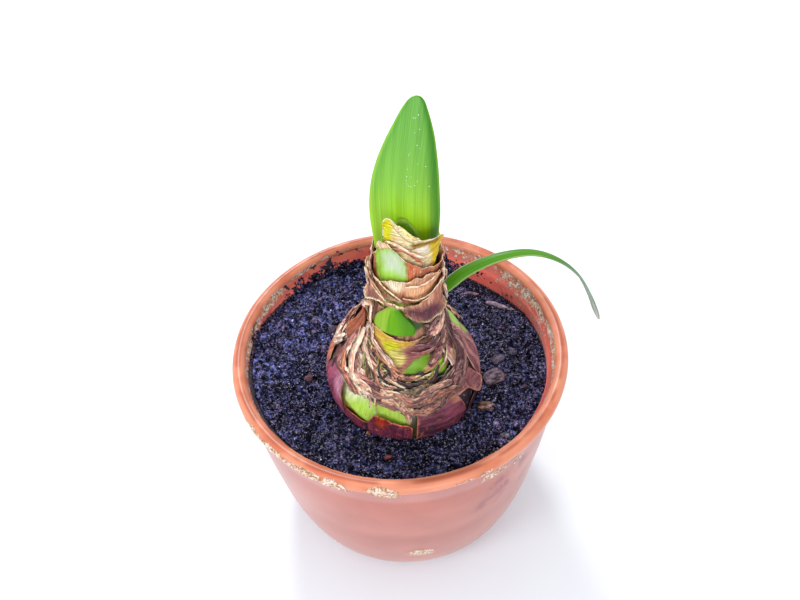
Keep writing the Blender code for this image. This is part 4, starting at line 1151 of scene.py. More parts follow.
def dress_skin(name):
    level, first, last, top, bottom, flare_top, flare_bottom, rag = SKINS[name]
    base, other, rim, deep, lie, curl, tear, stains_and_painted_light = LOOKS[name]
    seed = list(SKINS).index(name) * 3.7
    closed = last - first >= 360
    step = RING_STEP if last - first >= 300 else FLAP_STEP
    middle = (max(h for _, h in top) + min(h for _, h in bottom)) / 2 * MM
    columns = int(math.radians(last - first) * float(flesh_radius(middle)) / PAPER_STEP)
    angle = np.linspace(first, last, columns + 1)[:columns if closed else None]
    marks_at = [first] + [a for a in range(-360, 361, step) if first + 1 < a < last - 1] + [last]
    edge_table = [(a, ragged(a % 360, rag, seed)) for a in marks_at]
    if closed:
        edge_table[-1] = (last, edge_table[0][1])
    x, y = np.cos(np.radians(angle)) * 20, np.sin(np.radians(angle)) * 20
    tears = ramp(layered(x / 1.0, y / 1.0, seed + 5) * 1.6 - 0.2)
    tears = tears + 0.35 * layered(x / 0.45, y / 0.45, seed + 9)
    low_tears = ramp(layered(x / 1.2, y / 1.2, seed + 25) * 1.6 - 0.2)
    low_tears = low_tears + 0.3 * layered(x / 0.45, y / 0.45, seed + 19)
    high = (smooth(top, angle) + smooth(edge_table, angle) - tear * (tears - 0.4)) * MM
    low = (smooth(bottom, angle) + 0.6 * tear * low_tears * (min(h for _, h in bottom) > -10)) * MM
    if not closed:
        high = high - CORNER * (1 - ramp(np.minimum(angle - first, last - angle) / FLAP_STEP)) ** 2
    high = np.maximum(high, low + 1.5 * MM)
    rows = int(float((high - low).max()) / PAPER_STEP) + 2
    share = np.linspace(0, 1, rows)[None]
    height = low[:, None] + (high - low)[:, None] * share
    angle = angle[:, None]
    lift = level_lift(level, angle, height) + SKIN / 2
    if closed:
        square = 1
    else:
        square = ramp(np.minimum(angle - first, last - angle) / FLAP_STEP)
    lift = lift + square * flare_top * MM * ramp((height - high[:, None]) / CURL_REACH + 1) ** 2
    lift = lift + flare_bottom * MM * ramp((low[:, None] - height) / CURL_REACH + 1) ** 2
    cx, cy = np.cos(np.radians(angle)) * 26, np.sin(np.radians(angle)) * 26
    if lie == "round":
        folds = layered(cx / 9, cy / 9, height / (1.5 * MM) + seed)
    else:
        folds = layered(cx / 1.7, cy / 1.7, height / (12 * MM) + seed)
    crumple = layered(cx / 3, cy / 3, height / (3 * MM) + seed + 7)
    creases = 0.6 - 2.0 * np.abs(folds) + 0.8 * crumple
    lift = lift + MM * np.clip(1.5 * deep * creases, -0.4, 0.45)
    edge = np.minimum(high[:, None] - height, height - low[:, None] + 0 * high[:, None])
    if not closed:
        side = np.minimum(angle - first, last - angle) * math.radians(1) * flesh_radius(height)
        edge = np.minimum(edge, side)
    near_top = ramp(1 - (high[:, None] - height) / (2.2 * MM))
    near_low = ramp(1 - (height - low[:, None]) / (2.2 * MM)) * (flare_bottom > 0)
    waves = 0.7 + 1.1 * layered(cx / 4, cy / 4, seed + 3)
    lift = lift + 1.6 * square * curl * MM * (near_top + near_low) ** 2 * np.maximum(waves, 0)
    tint, sunk = paint(base, other, rim, lie, stains_and_painted_light, angle + 0 * height, height, edge, seed)
    points = plant_point(angle, height, lift - sunk)
    grain = bulb_grain(angle + 0 * height, height, lie, seed)
    waxy = ramp(4 * (tint[..., 1] / tint[..., 0] - 0.98))
    skin = build(name + "_paper", points, grid_faces(len(points), rows, closed), PAPER_FINISH, tint=tint,
                 grain=grain, waxy=waxy)
    thicken(skin)
    slots = {part["node"]: part["material_slot"] for part in frame["record"]["subparts"]}
    dress(skin, slots[name], name)


def make_flesh():
    """The living flesh that shows between the skins, just over the faceted one."""
    angle = np.concatenate([np.linspace(-90, 80, 190), np.linspace(83, 267, 56)])[:, None]
    height = np.concatenate([np.linspace(-22, 36, 100), np.linspace(36.8, 72.8, 30)])[None] * MM
    columns, rows = angle.size, height.size
    stains_and_painted_light = [CREVICE_SHADE, GREEN_C, PALE_OVER_C, GREEN_D, GREEN_A, GREEN_B, GAP_SHADE, SHADED_GREEN_UNDER_BAND, DARK_SIDE]
    far = np.full((columns, rows), 9.0 * MM)
    tint, _ = paint(shade(150, 160, 74), shade(120, 92, 60), shade(200, 190, 130), "up", stains_and_painted_light,
                    angle + 0 * height, height + 0 * angle, far, 77.0)
    folds = layered(np.cos(np.radians(angle)) * 6, np.sin(np.radians(angle)) * 6, height / (6 * MM))
    points = plant_point(angle + 0 * height, height + 0 * angle, 0.12 * MM + 0.06 * MM * folds)
    grain = bulb_grain(angle + 0 * height, height, "up", 5.0)
    flesh = build("bulb_flesh_surface", points, grid_faces(columns, rows, closed=True), FLESH_FINISH,
                  tint=tint, grain=grain)
    dress(flesh, "bulb_flesh")
    for slot in frame["nodes"]["bulb"].material_slots:
        slot.material = ROOT_FINISH


def ribbon(path, wide, lifts, bow, draw, tones, rim=0.5, wild=1.0):
    """A torn strip along a path of (angle, height), from one lift to another and bowed out, all in mm."""
    steps, sides = 12 + 5 * len(path), 7 if wide < 3 else 9
    along = np.linspace(0, 1, steps)[:, None]
    across = np.linspace(-1, 1, sides)[None]
    seed = draw.uniform(0, 90)
    at = along * (len(path) - 1)
    angle = smooth(list(enumerate(a for a, _ in path)), at) + 1.6 * rough(along * 4, seed, 0.5)
    height = smooth(list(enumerate(h for _, h in path)), at) + 0.4 * rough(along * 5, seed, 8.5)
    turn = np.radians(1) * flesh_radius(height * MM) / MM
    run = np.stack([np.gradient(angle[:, 0]) * turn[:, 0], np.gradient(height[:, 0])])
    run = (run / np.linalg.norm(run, axis=0))[..., None]
    taper = np.clip(1.5 * np.sin(math.pi * np.clip(along * 0.94 + 0.03, 0, 1)) ** 0.6, 0.08, 1)
    ragged_now = 0.3 * wild * (rough(along * 5, seed, 3.5) + rough(along * 17, seed, across * 1.5))
    half = wide / 2 * taper * (1 + ragged_now)
    angle = angle - run[1] * across * half / turn
    height = height + run[0] * across * half
    tilt = draw.uniform(-0.3, 0.3)
    crease = 0.4 - np.abs(rough(along * 5, seed, across * 1.2 + 2))
    crease = crease - 0.5 * np.abs(rough(along * 11, seed, across * 2))
    lift = lifts[0] + (lifts[1] - lifts[0]) * along + bow * np.sin(math.pi * along)
    lift = lift + wild * (tilt * across * half + 1.1 * min(wide / 3, 1) * crease)
    points = plant_point(angle, height * MM, np.maximum(lift, 0.5) * MM)
    streak = rough(along * 9, seed, across * 3.2) + 0.5 * rough(along * 20, seed, across * 5)
    tone = blend(np.broadcast_to(tones[0], (steps, sides, 3)), tones[1], ramp(0.5 + 1.1 * streak))
    tone = blend(tone, WHITE_PAPER,
                 rim * ramp((np.abs(across) - 0.55) / 0.45) * ramp(0.6 + rough(along * 6, seed, 7)))
    # Painted shade: each strip is darker along one side and lighter along the other, as where one strip lies
    # under the next
    tone = vivid(tone * (0.5 + 0.62 * ramp((across + 1) / 1.1))[..., None])
    grain = np.stack(np.broadcast_arrays(across * half, along * 10 * len(path), seed), axis=-1)
    return points, grid_faces(steps, sides), tone.reshape(-1, 3), grain


# Strips that hang from the neck over the shoulder and sweep round to the front: the places they pass, width,
# lift at the start and end, and bow, in mm
LEFT_SWEEPS = [([(-60, 38), (-56, 34), (-45, 31), (-26, 27), (-11, 24)], 3.2, (2.4, 2.4), 0.3),
               ([(-64, 37), (-63, 30), (-50, 26), (-35, 23), (-19, 20), (-3, 19)], 5.0, (2.8, 2.6), 0.3),
               ([(-74, 32), (-72, 26), (-63, 21), (-48, 18), (-31, 16), (-12, 15)], 5.4, (3.0, 3.4), 0.3),
               ([(-78, 27), (-75, 22), (-69, 16), (-54, 14), (-37, 12)], 4.6, (3.4, 4.2), 0.3),
               ([(-62, 36), (-56, 32), (-40, 27)], 2.2, (2.4, 2.6), 0.3)]
RIGHT_SWEEPS = [([(66, 43), (46, 41.5), (30, 39)], 4.4, (3.0, 2.4), 0.4),
                ([(70, 40), (56, 32), (41, 28), (24, 24)], 4.6, (3.2, 2.6), 0.4),
                ([(72, 38), (66, 27), (56, 20), (39, 16.6), (21, 15.4)], 4.0, (3.4, 3.2), 0.3),
                ([(68, 40), (58, 32), (50, 28.6), (38, 28)], 1.6, (3.8, 3.4), 0.3),
                ([(74, 42), (69, 30), (62, 20), (50, 15)], 4.6, (3.8, 4.2), 0.3),
                ([(64, 44), (52, 36), (40, 33), (26, 31)], 3.4, (2.8, 2.4), 0.3)]
SWEEP_TONES = [(shade(242, 222, 204), shade(166, 120, 110)), (shade(216, 170, 152), shade(112, 70, 70)),
               (shade(244, 230, 208), shade(176, 132, 116)), (shade(190, 134, 124), shade(88, 54, 62)),
               (shade(214, 150, 116), shade(120, 70, 58)), (shade(120, 76, 76), shade(62, 40, 46)),
               (shade(196, 196, 140), shade(120, 104, 66))]

# Papery tips that stand off the neck: the places they pass, width, lifts and bow
NECK_TIPS = [([(-80, 56), (-82, 61), (-80, 65)], 2.6, (3.2, 4.2), 0.2),
             ([(-68, 62), (-71, 67), (-69, 71)], 2.4, (3.0, 4.4), 0),
             ([(-60, 49), (-72, 54), (-81, 55)], 1.4, (3.4, 5.2), 0.6),
             ([(70, 58), (73, 53), (78, 48)], 2.2, (3.6, 5.2), 0.6),
             ([(66, 68), (76, 63), (80, 57)], 1.6, (3.0, 4.4), 0.4),
             ([(-62, 51), (-70, 49), (-80, 45)], 2.0, (4.0, 5.6), 0.6)]

# Sheets that show by themselves: path, width, lifts, bow and the two colours
SINGLE_SHEETS = [
    ([(-44, 84), (-24, 87), (0, 83.6), (24, 79)], 1.0, (2.1, 2.4), 0.2, shade(246, 228, 204),
     shade(226, 176, 150)),
    ([(-30, 83.6), (-12, 83.8), (6, 80.6), (22, 76.6)], 0.8, (1.9, 2.1), 0.2, shade(206, 130, 100),
     shade(160, 84, 66)),
    ([(-24, 94), (-12, 92.5), (2, 89), (18, 87)], 2.6, (1.2, 1.4), 0.2, shade(246, 236, 206),
     shade(226, 206, 130)),
    ([(-4, 66), (12, 66.2), (32, 67.6), (50, 70)], 0.9, (3.4, 3.8), 0.3, WHITE_PAPER, shade(226, 184, 150)),
    ([(-8, 59.8), (9, 59.4), (32, 61.2), (54, 65)], 0.8, (3.3, 4.2), 0.2, CREAM, shade(150, 100, 80)),
    ([(56, 69.5), (60, 66), (56, 62.5)], 0.9, (4.0, 4.2), 0.3, WHITE_PAPER, shade(214, 160, 130)),
    ([(-58, 65.5), (-46, 64.8), (-35, 62.9), (-21, 60.8), (-9, 58.6)], 0.9, (3.2, 3.4), 0.1, CREAM, TAN),
    ([(-60, 62), (-42, 59.3), (-27, 57.2), (-12, 56.4)], 0.9, (4.3, 4.4), 0.1, CREAM, TAN),
    ([(72, 42), (58, 39.5), (44, 37.5), (36, 35.5)], 4.2, (3.8, 3.2), 0.5, shade(238, 206, 190),
     shade(196, 134, 120)),
    ([(-70, 54), (-69, 47), (-67, 41), (-62, 36.5)], 1.4, (3.4, 2.8), 0.2, WHITE_PAPER, shade(214, 176, 140)),
    ([(-9, 22.6), (7, 20.6), (20, 21), (33, 21.4), (46, 24), (55, 29)], 0.8, (2.7, 3.0), 0.1, CREAM,
     shade(150, 116, 80)),
    ([(-56, 27), (-42, 24.6), (-28, 23.4), (-13, 22)], 2.2, (2.5, 2.7), 0.2, shade(206, 214, 140),
     shade(150, 150, 84)),
    ([(-24, 15.5), (-12, 15.6), (-3, 14), (3, 10)], 2.4, (4.0, 4.4), 0.4, shade(228, 200, 174),
     shade(140, 94, 84)),
    ([(-20, 12.6), (-9, 12.6), (-2, 10), (2, 6)], 2.6, (3.8, 4.2), 0.4, shade(214, 178, 156),
     shade(126, 84, 76)),
    ([(-31, 13), (-29, 10.4), (-28, 8)], 1.0, (3.2, 2.4), 0.4, WHITE_PAPER, shade(170, 110, 84)),
    ([(-26, 13), (-24.5, 10.4), (-24, 8.6)], 0.8, (3.4, 2.4), 0.4, CREAM, shade(150, 96, 76)),
    ([(-36, 13), (-34, 11)], 1.2, (3.2, 2.6), 0.2, WHITE_PAPER, shade(190, 150, 110)),
    ([(8, 15), (22, 17), (38, 16.4)], 2.2, (4.9, 5.2), 0.3, shade(196, 156, 138), shade(112, 78, 72)),
    ([(12, 12.8), (26, 14.2), (42, 12.6)], 2.2, (4.9, 5.2), 0.3, shade(172, 124, 108), shade(92, 60, 58)),
    ([(71, 34), (78, 26), (80, 17)], 2.0, (5.2, 5.6), 0.3, shade(206, 160, 150), shade(130, 86, 86)),
    ([(-58, 17), (-48, 15), (-38, 14.6), (-29, 13.6)], 4.0, (3.7, 4.0), 0.3, shade(246, 234, 214),
     shade(196, 156, 136)),
    ([(-54, 13.6), (-48, 11.4), (-43, 11)], 1.6, (3.6, 3.2), 0.3, WHITE_PAPER, shade(206, 170, 146)),
    ([(-66, 34), (-63, 26), (-56, 19), (-46, 14.5)], 3.0, (4.2, 4.4), 0.4, shade(242, 226, 204),
     shade(206, 160, 140)),
    ([(-56, 34), (-47, 28), (-36, 25), (-24, 23)], 1.4, (3.2, 3.0), 0.2, shade(120, 72, 60),
     shade(66, 42, 44)),
    ([(-50, 32.5), (-40, 28.5), (-28, 26)], 1.0, (2.9, 2.7), 0.1, shade(104, 62, 56), shade(60, 40, 44)),
    ([(10, 33.6), (24, 32.6), (40, 33.5), (58, 38)], 1.6, (2.8, 3.2), 0.2, shade(150, 98, 100),
     shade(96, 58, 70)),
    ([(4, 31), (20, 30), (38, 30.4), (56, 34)], 1.4, (2.7, 3.2), 0.2, shade(176, 122, 116),
     shade(110, 66, 76))]
RIGHT_TONES = [(shade(184, 140, 134), shade(86, 58, 66)), (shade(150, 100, 98), shade(70, 44, 54)),
               (shade(120, 76, 80), shade(62, 40, 48)), (shade(208, 170, 146), shade(110, 72, 70)),
               (shade(108, 72, 86), shade(60, 42, 56))]
# Partly painted shade: the darkest pairs stand in for the shade deep in the crevice
CREVICE_TONES = [(shade(170, 158, 96), shade(84, 72, 46)), (shade(214, 196, 160), shade(120, 92, 70)),
                 (shade(70, 50, 48), shade(40, 30, 34)), (shade(120, 100, 62), shade(60, 48, 38)),
                 (shade(80, 58, 54), shade(44, 32, 36)), (shade(206, 152, 130), shade(112, 68, 64)),
                 (shade(60, 44, 46), shade(36, 28, 34))]

# Crumpled scales: what colours they have near each (angle, height)
SCALE_ZONES = [(-75, 26, shade(250, 242, 228), shade(190, 146, 132)),
               (-48, 19, shade(252, 244, 230), shade(190, 144, 130)),
               (-26, 12, shade(218, 180, 158), shade(116, 74, 70)),
               (-8, 12, shade(188, 140, 120), shade(82, 52, 52)),
               (4, 20, shade(120, 104, 78), shade(50, 40, 42)),
               (-22, 21, shade(176, 168, 110), shade(80, 62, 50)),
               (30, 18, shade(150, 100, 84), shade(60, 42, 46)),
               (13, 13, shade(168, 122, 108), shade(68, 44, 46)),
               (45, 21, shade(158, 110, 104), shade(64, 42, 52)),
               (60, 26, shade(172, 122, 122), shade(78, 50, 62)),
               (42, 15, shade(148, 106, 102), shade(62, 42, 52)),
               (120, 18, shade(190, 150, 134), shade(110, 76, 78)),
               (180, 20, shade(206, 170, 146), shade(126, 86, 80)),
               (-130, 22, shade(206, 160, 138), shade(130, 84, 78))]
CREVICE_STRIPS = 44
STRIPS_BEHIND = 20
SCALES = 170
SCALES_IN_FRONT = 125


def hang(angle, front):
    """The height of a fold that hangs lowest at the front, where it is at the height front."""
    away = (angle - 5 + 180) % 360 - 180
    return front + 13 * ramp(abs(away) / 80) * (0.6 if abs(away) > 95 else 1)


def sweeps_of(draw, sweeps, tones):
    """Each strip of a table, with two narrower ones over it."""
    for path, wide, lifts, bow in sweeps:
        yield ribbon(path, wide, lifts, bow, draw, draw.choice(tones), 0.25)
        for _ in range(2):
            moved = [(a + draw.uniform(-4, 4), h + draw.uniform(-1.5, 1.5))
                     for a, h in path[draw.randint(0, 1):]]
            more = draw.uniform(0.2, 0.7)
            lifts_now = (lifts[0] + more, lifts[1] + more)
            yield ribbon(moved, wide * draw.uniform(0.25, 0.6), lifts_now, bow, draw, draw.choice(tones), 0.2)


def curls_in_crevice(draw):
    for _ in range(CREVICE_STRIPS):
        angle, height = draw.uniform(-46, 26), draw.uniform(15.5, 22)
        reach = draw.uniform(4, 13)
        path = [(angle - reach, hang(angle - reach, height)), (angle, height + draw.uniform(-0.8, 0.4)),
                (angle + reach, hang(angle + reach, height))]
        lift = draw.uniform(2.2, 3.7)
        wide = draw.uniform(0.5, 1.7)
        lifts = (lift, lift + draw.uniform(-0.5, 0.6))
        yield ribbon(path, wide, lifts, 0.2, draw, draw.choice(CREVICE_TONES), 0.15, 0.7)


def strips_behind(draw):
    for _ in range(STRIPS_BEHIND):
        angle = draw.uniform(166, 236)
        start = (angle, draw.uniform(38, 45))
        end = (angle + draw.uniform(-16, 16), draw.uniform(14, 24))
        middle = (angle + draw.uniform(-5, 5), 30)
        path = [(a + draw.uniform(-2.5, 2.5), h + draw.uniform(-0.25, 0.25) * 2.5)
                for a, h in (start, middle, end)]
        yield ribbon(path, draw.uniform(1.4, 4.0), (3.4, 3.6), draw.uniform(0.4, 1.2), draw,
                     draw.choice(SWEEP_TONES))


def make_strips():
    draw = random.Random(SEED + 3)
    shapes = {"left": list(sweeps_of(draw, LEFT_SWEEPS, SWEEP_TONES)),
              "right": list(sweeps_of(draw, RIGHT_SWEEPS, RIGHT_TONES)),
              "tips": [ribbon(path, wide, lifts, bow, draw, (WHITE_PAPER, shade(196, 140, 112)))
                       for path, wide, lifts, bow in NECK_TIPS],
              "single": [ribbon(path, wide, lifts, bow, draw, tones, 0.6, 0.35 if wide > 2 else 0.8)
                         for path, wide, lifts, bow, *tones in SINGLE_SHEETS],
              "crevice": list(curls_in_crevice(draw)),
              "behind": list(strips_behind(draw))}
    for name in ("left", "right", "behind", "tips", "single", "crevice"):
        points, faces, tint, grain = join(shapes[name])
        strips = build("strips_" + name, points, faces, PAPER_FINISH, tint=tint, grain=grain)
        thicken(strips, 0.22 * MM)
        dress(strips, "tan_paper")


def scale_place(draw, in_front):
    """Where a scale lies, as its middle angle and front height, or None where it would hide what shows."""
    middle = draw.uniform(-72, 62) if in_front else draw.uniform(80, 270)
    front = draw.uniform(8.5, 21.5) if abs(middle) < 95 else draw.uniform(4, 14)
    low = hang(middle, front)
    over_green = -52 < middle < 4 and front < 12.5 and low < 15
    in_crevice = -34 < middle < 40 and 15.5 < low < 22
    by_side_green = 22 < middle < 58 and 17.5 < low < 29
    on_right_skin = 78 < middle < 128
    if over_green or in_crevice or by_side_green or on_right_skin:
        return None
    return middle, front


def make_scales():
    """Thin crumpled scales that lie round the shoulder one over the other."""
    draw = random.Random(SEED + 4)
    shapes = []
    for i in range(SCALES):
        place = scale_place(draw, i < SCALES_IN_FRONT)
        if place is None:
            continue
        middle, front = place
        reach = draw.uniform(6, 19)
        path = [(middle + share * reach, hang(middle + share * reach, front) + draw.uniform(-0.7, 0.7))
                for share in (-1, -0.4, 0.3, 1)]

        def distance(zone):
            away = ((zone[0] - middle + 180) % 360 - 180) * 0.45
            return math.hypot(away + draw.uniform(-4, 4), zone[1] - path[1][1])

        _, _, *tones = min(SCALE_ZONES, key=distance)
        lift = 2.2 + (1.3 if path[1][1] < 17 else 0) + draw.uniform(0, 0.9) - 0.6 * (path[1][1] > 19)
        wide = draw.uniform(0.9, 2.2) if draw.random() < 0.45 else draw.uniform(2.2, 4.6)
        lifts = (lift, lift + draw.uniform(-0.4, 0.6))
        shapes.append(ribbon(path, wide, lifts, draw.uniform(-0.1, 0.4), draw, tones, 0.3))
    points, faces, tint, grain = join(shapes)
    scales = build("crumpled_scales", points, faces, PAPER_FINISH, tint=tint, grain=grain)
    thicken(scales, 0.2 * MM)
    dress(scales, "tan_paper")


# Leaves


def shell_faces(rings, across_steps):
    """The faces of rings of points that go across a blade on one side and back on the other, ends too."""
    size = 2 * (across_steps + 1)
    quads = grid_faces(rings, size).tolist()
    index = np.arange(rings * size).reshape(rings, size)
    for i in range(rings - 1):
        quads.append([int(index[i, -1]), int(index[i + 1, -1]), int(index[i + 1, 0]), int(index[i, 0])])
    for ring in (index[0], index[-1]):
        for i in range(across_steps):
            quads.append([int(ring[i]), int(ring[i + 1]), int(ring[size - 2 - i]), int(ring[size - 1 - i])])
    return quads


def blade(name, sections, across_steps, tint_of, node, ribs=0.0):
    """A blade through sections of (middle, across, out, half width, thickness, cup), as in the source."""
    u = np.linspace(-1, 1, across_steps + 1)
    rings, tints, grains = [], [], []
    middles = np.array([section[0] for section in sections])
    lengths = np.concatenate([[0], np.cumsum(np.linalg.norm(np.diff(middles, axis=0), axis=1))])
    for length, (middle, across, out, half, thick, cup) in zip(lengths, sections):
        body = BLADE_EDGE * 0.7 + (thick - BLADE_EDGE * 0.7) * (1 - u * u)
        rib = ribs * np.cos(u * half / (1.15 * MM) * 2 * math.pi) * (1 - u**4)
        ring = []
        for side in (1, -1):
            v = u * side
            offset = side * (body / 2 + (rib if side > 0 else rib[::-1]) * 0.5) - cup * u * u
            ring.append(np.array(middle) + np.outer(v * half, across) + np.outer(offset, out))
        rings.append(np.vstack(ring))
        both = np.concatenate([u, -u])
        share = length / lengths[-1]
        tints.append(tint_of(both, share))
        grains.append(np.column_stack([both * half / MM, np.full(len(both), length / MM),
                                       np.full(len(both), 3.0)]))
    made = build(name, np.vstack(rings), shell_faces(len(rings), across_steps), LEAF_FINISH,
                 tint=np.vstack(tints), grain=np.vstack(grains))
    tidy_normals(made)
    dress(made, "leaf_green", node)


def tidy_normals(piece):
    work = bmesh.new()
    work.from_mesh(piece.data)
    bmesh.ops.remove_doubles(work, verts=work.verts, dist=0.002 * MM)
    bmesh.ops.recalc_face_normals(work, faces=work.faces)
    work.to_mesh(piece.data)
    work.free()


def upright(rows, edge_y, thick, cup, steps):
    heights = rows[0][0] + (rows[-1][0] - rows[0][0]) * np.sin(np.linspace(0, math.pi / 2, steps))
    middles = smooth([(z, x) for z, x, _ in rows], heights)
    halves = np.maximum(smooth([(z, half) for z, _, half in rows], heights), 0.4)
    widest = max(row[2] for row in rows)
    sections = []
    for z, x, half in zip(heights, middles, halves):
        narrow = half / widest
        bulge = cup * narrow**2
        sections.append((np.array([x, edge_y - bulge, z]) * MM, np.array([1, 0, 0]), np.array([0, -1, 0]),
                         half * MM, max(thick * MM * narrow**0.5, BLADE_EDGE), bulge * MM))
    return sections


# Rows of the upright leaves: height, middle and half width, in mm
MAIN_ROWS = [(182.4, 5.2, 12.2), (190, 5.3, 12.8), (198, 5.3, 13.2), (206, 5.4, 12.9), (214, 5.9, 12.1),
             (222, 6.8, 10.6), (230, 8.1, 8.4), (236, 9.1, 6.2), (240, 9.7, 4.6), (242.8, 10.2, 3.2),
             (244.2, 10.4, 2.1), (244.8, 10.5, 1.2), (245, 10.5, 0.5)]
INNER_ROWS = [(182.4, 5.6, 5.8), (188, 5.4, 5.6), (193, 5.0, 4.9), (197, 4.4, 3.6), (200, 3.9, 1.8),
              (201, 3.8, 0.9)]
MAIN_EDGE_Y = -12.8
MAIN_THICK = 3.2
MAIN_CUP = 4.2
MAIN_HALF = 13.1

# The narrow leaf: its middle line as (x, z), half its width there, and its colours along it, pale to near white
# towards the tip as painted light where the blade faces away from the lamps
SIDE_SPINE = [(20.4, 154.5), (23.4, 157.8), (28, 161.8), (35, 165.8), (44, 169.0), (54, 169.9), (63, 167.4),
              (72, 161.2), (80, 151.9), (86.6, 139.9), (91, 129.7), (93.8, 122.6)]
SIDE_HALVES = [2.3, 2.8, 2.8, 2.5, 2.2, 1.9, 1.7, 1.5, 1.5, 1.8, 1.9, 0.6]
SIDE_TONES = [(0, shade(98, 180, 26)), (0.45, shade(112, 186, 58)), (0.6, shade(128, 174, 108)),
              (0.75, shade(206, 230, 208)), (1, shade(255, 255, 252))]

WATER_SPECKS = 24
LEAF_TOP = shade(126, 204, 90)
LEAF_MIDDLE = shade(154, 222, 82)
LEAF_LOW = shade(194, 248, 48)
LEAF_FOOT = shade(198, 238, 16)
LEAF_PAINTED_SHADE = shade(62, 156, 14)


def toned(stops, share, count):
    """The colour at a share of a blade's length, from a table of (share, colour), count times."""
    return np.array([[float(smooth([(at, tone[i]) for at, tone in stops], share)) for i in range(3)]] * count)


def main_tint(u, share):
    tone = toned([(0, LEAF_FOOT), (0.25, LEAF_LOW), (0.55, LEAF_MIDDLE), (1, LEAF_TOP)], share, len(u))
    # Painted shade down the right of the blade and just inside its left edge, where it turns from the light; a
    # painted highlight down the middle; painted light along both edges
    tone = blend(tone, LEAF_PAINTED_SHADE, 0.9 * ramp((u - 0.5) / 0.4))
    tone = blend(tone, tone[len(u) // 4] * 1.15, 0.7 * ramp(1 - np.abs(u - 0.12) / 0.2))
    tone = blend(tone, LEAF_LOW, 0.6 * ramp((np.abs(u) - 0.93) / 0.05))
    return blend(tone, LEAF_PAINTED_SHADE, 0.3 * ramp((-u - 0.6) / 0.3) * ramp((0.93 + u) / 0.05))


def inner_tint(u, share):
    tone = np.broadcast_to(shade(112, 168, 22), (len(u), 3))
    tone = blend(tone, shade(168, 214, 72), ramp((np.abs(u) - 0.72) / 0.15))
    return blend(tone, shade(168, 214, 72), np.full(len(u), float(ramp((share - 0.88) / 0.08))))


def stub_tint(u, share):
    tone = np.broadcast_to(shade(128, 206, 10), (len(u), 3))
    # Painted light and shade: the left facet lighter and the right side darker
    tone = blend(tone, shade(92, 172, 8), ramp((u - 0.1) / 0.7) * 0.8)
    tone = blend(tone, shade(190, 236, 70), ramp((-u - 0.12) / 0.16) * 0.85)
    return blend(tone, shade(184, 220, 90), np.full(len(u), 0.7 * float(ramp((share - 0.86) / 0.1))))


def side_tint(u, share):
    tone = toned(SIDE_TONES, share, len(u))
    # Painted shade: one half of the blade darker
    tone = blend(tone, shade(70, 132, 30), 0.5 * ramp((u - 0.1) / 0.5))
    edge = shade(196, 228, 140) if share < 0.5 else shade(150, 182, 148)
    return blend(tone, edge, 0.8 * ramp((np.abs(u) - 0.78) / 0.1) * float(ramp(abs(share - 0.5) / 0.1)))


def make_leaves():
    blade("leaf_main_blade", upright(MAIN_ROWS, MAIN_EDGE_Y, MAIN_THICK, MAIN_CUP, 110), 48, main_tint,
          "leaf_main", 0.03 * MM)
    blade("leaf_inner_blade", upright(INNER_ROWS, -19.7, 1.6, 0.9, 40), 24, inner_tint, "leaf_inner",
          0.02 * MM)
    steps = 90
    share = np.linspace(0, 1, steps)
    at = share * (len(SIDE_SPINE) - 1)
    xs = smooth(list(enumerate(x for x, _ in SIDE_SPINE)), at)
    zs = smooth(list(enumerate(z for _, z in SIDE_SPINE)), at)
    widths = smooth(list(enumerate(SIDE_HALVES)), at)
    sections = []
    for i, t in enumerate(share):
        before, after = max(i - 1, 0), min(i + 1, steps - 1)
        along = Vector((xs[after] - xs[before], 0, zs[after] - zs[before])).normalized()
        tilt = math.radians(42 - 76 * t)
        up = Vector((-along.z, 0, along.x))
        across = (Vector((0, 1, 0)) * math.cos(tilt) + up * math.sin(tilt)).normalized()
        out = along.cross(across).normalized()
        middle = np.array((xs[i], -10 + 6 * t, zs[i])) * MM
        sections.append((middle, np.array(across), np.array(out), widths[i] * MM, 1.6 * MM * (1 - 0.4 * t),
                         0.5 * MM * widths[i] / max(SIDE_HALVES)))
    blade("leaf_side_blade", sections, 18, side_tint, "leaf_side", 0.02 * MM)


STUB_STEPS = 32


def make_stub():
    """The short leaf on the front of the neck, bent round it."""
    heights = np.linspace(STUB_ROWS[0][0], STUB_ROWS[-1][0], 50)
    middles = smooth([(h, m) for h, m, _ in STUB_ROWS], heights)
    halves = smooth([(h, w) for h, _, w in STUB_ROWS], heights)
    clear = SKIN + 2 * GAP
    u = np.linspace(-1, 1, STUB_STEPS + 1)
    points, tints, grains = [], [], []
    for i, (height, middle, half) in enumerate(zip(heights, middles, halves)):
        share = i / (len(heights) - 1)
        inner = plant_point(middle + u * half, np.full(len(u), height * MM), np.full(len(u), clear))
        body = BLADE_EDGE * 0.8 + 1.2 * MM * (1 - u * u) ** 0.7
        outer = plant_point(middle - u * half, np.full(len(u), height * MM), clear + body)
        points.append(np.vstack([inner, outer]))
        both = np.concatenate([u, -u])
        tints.append(stub_tint(both, share))
        grains.append(np.column_stack([both * half * 0.25, np.full(len(both), height),
                                       np.full(len(both), 8.0)]))
    stub = build("leaf_stub_blade", np.vstack(points), shell_faces(len(points), STUB_STEPS), LEAF_FINISH,
                 tint=np.vstack(tints), grain=np.vstack(grains))
    tidy_normals(stub)
    dress(stub, "leaf_green", "leaf_stub")


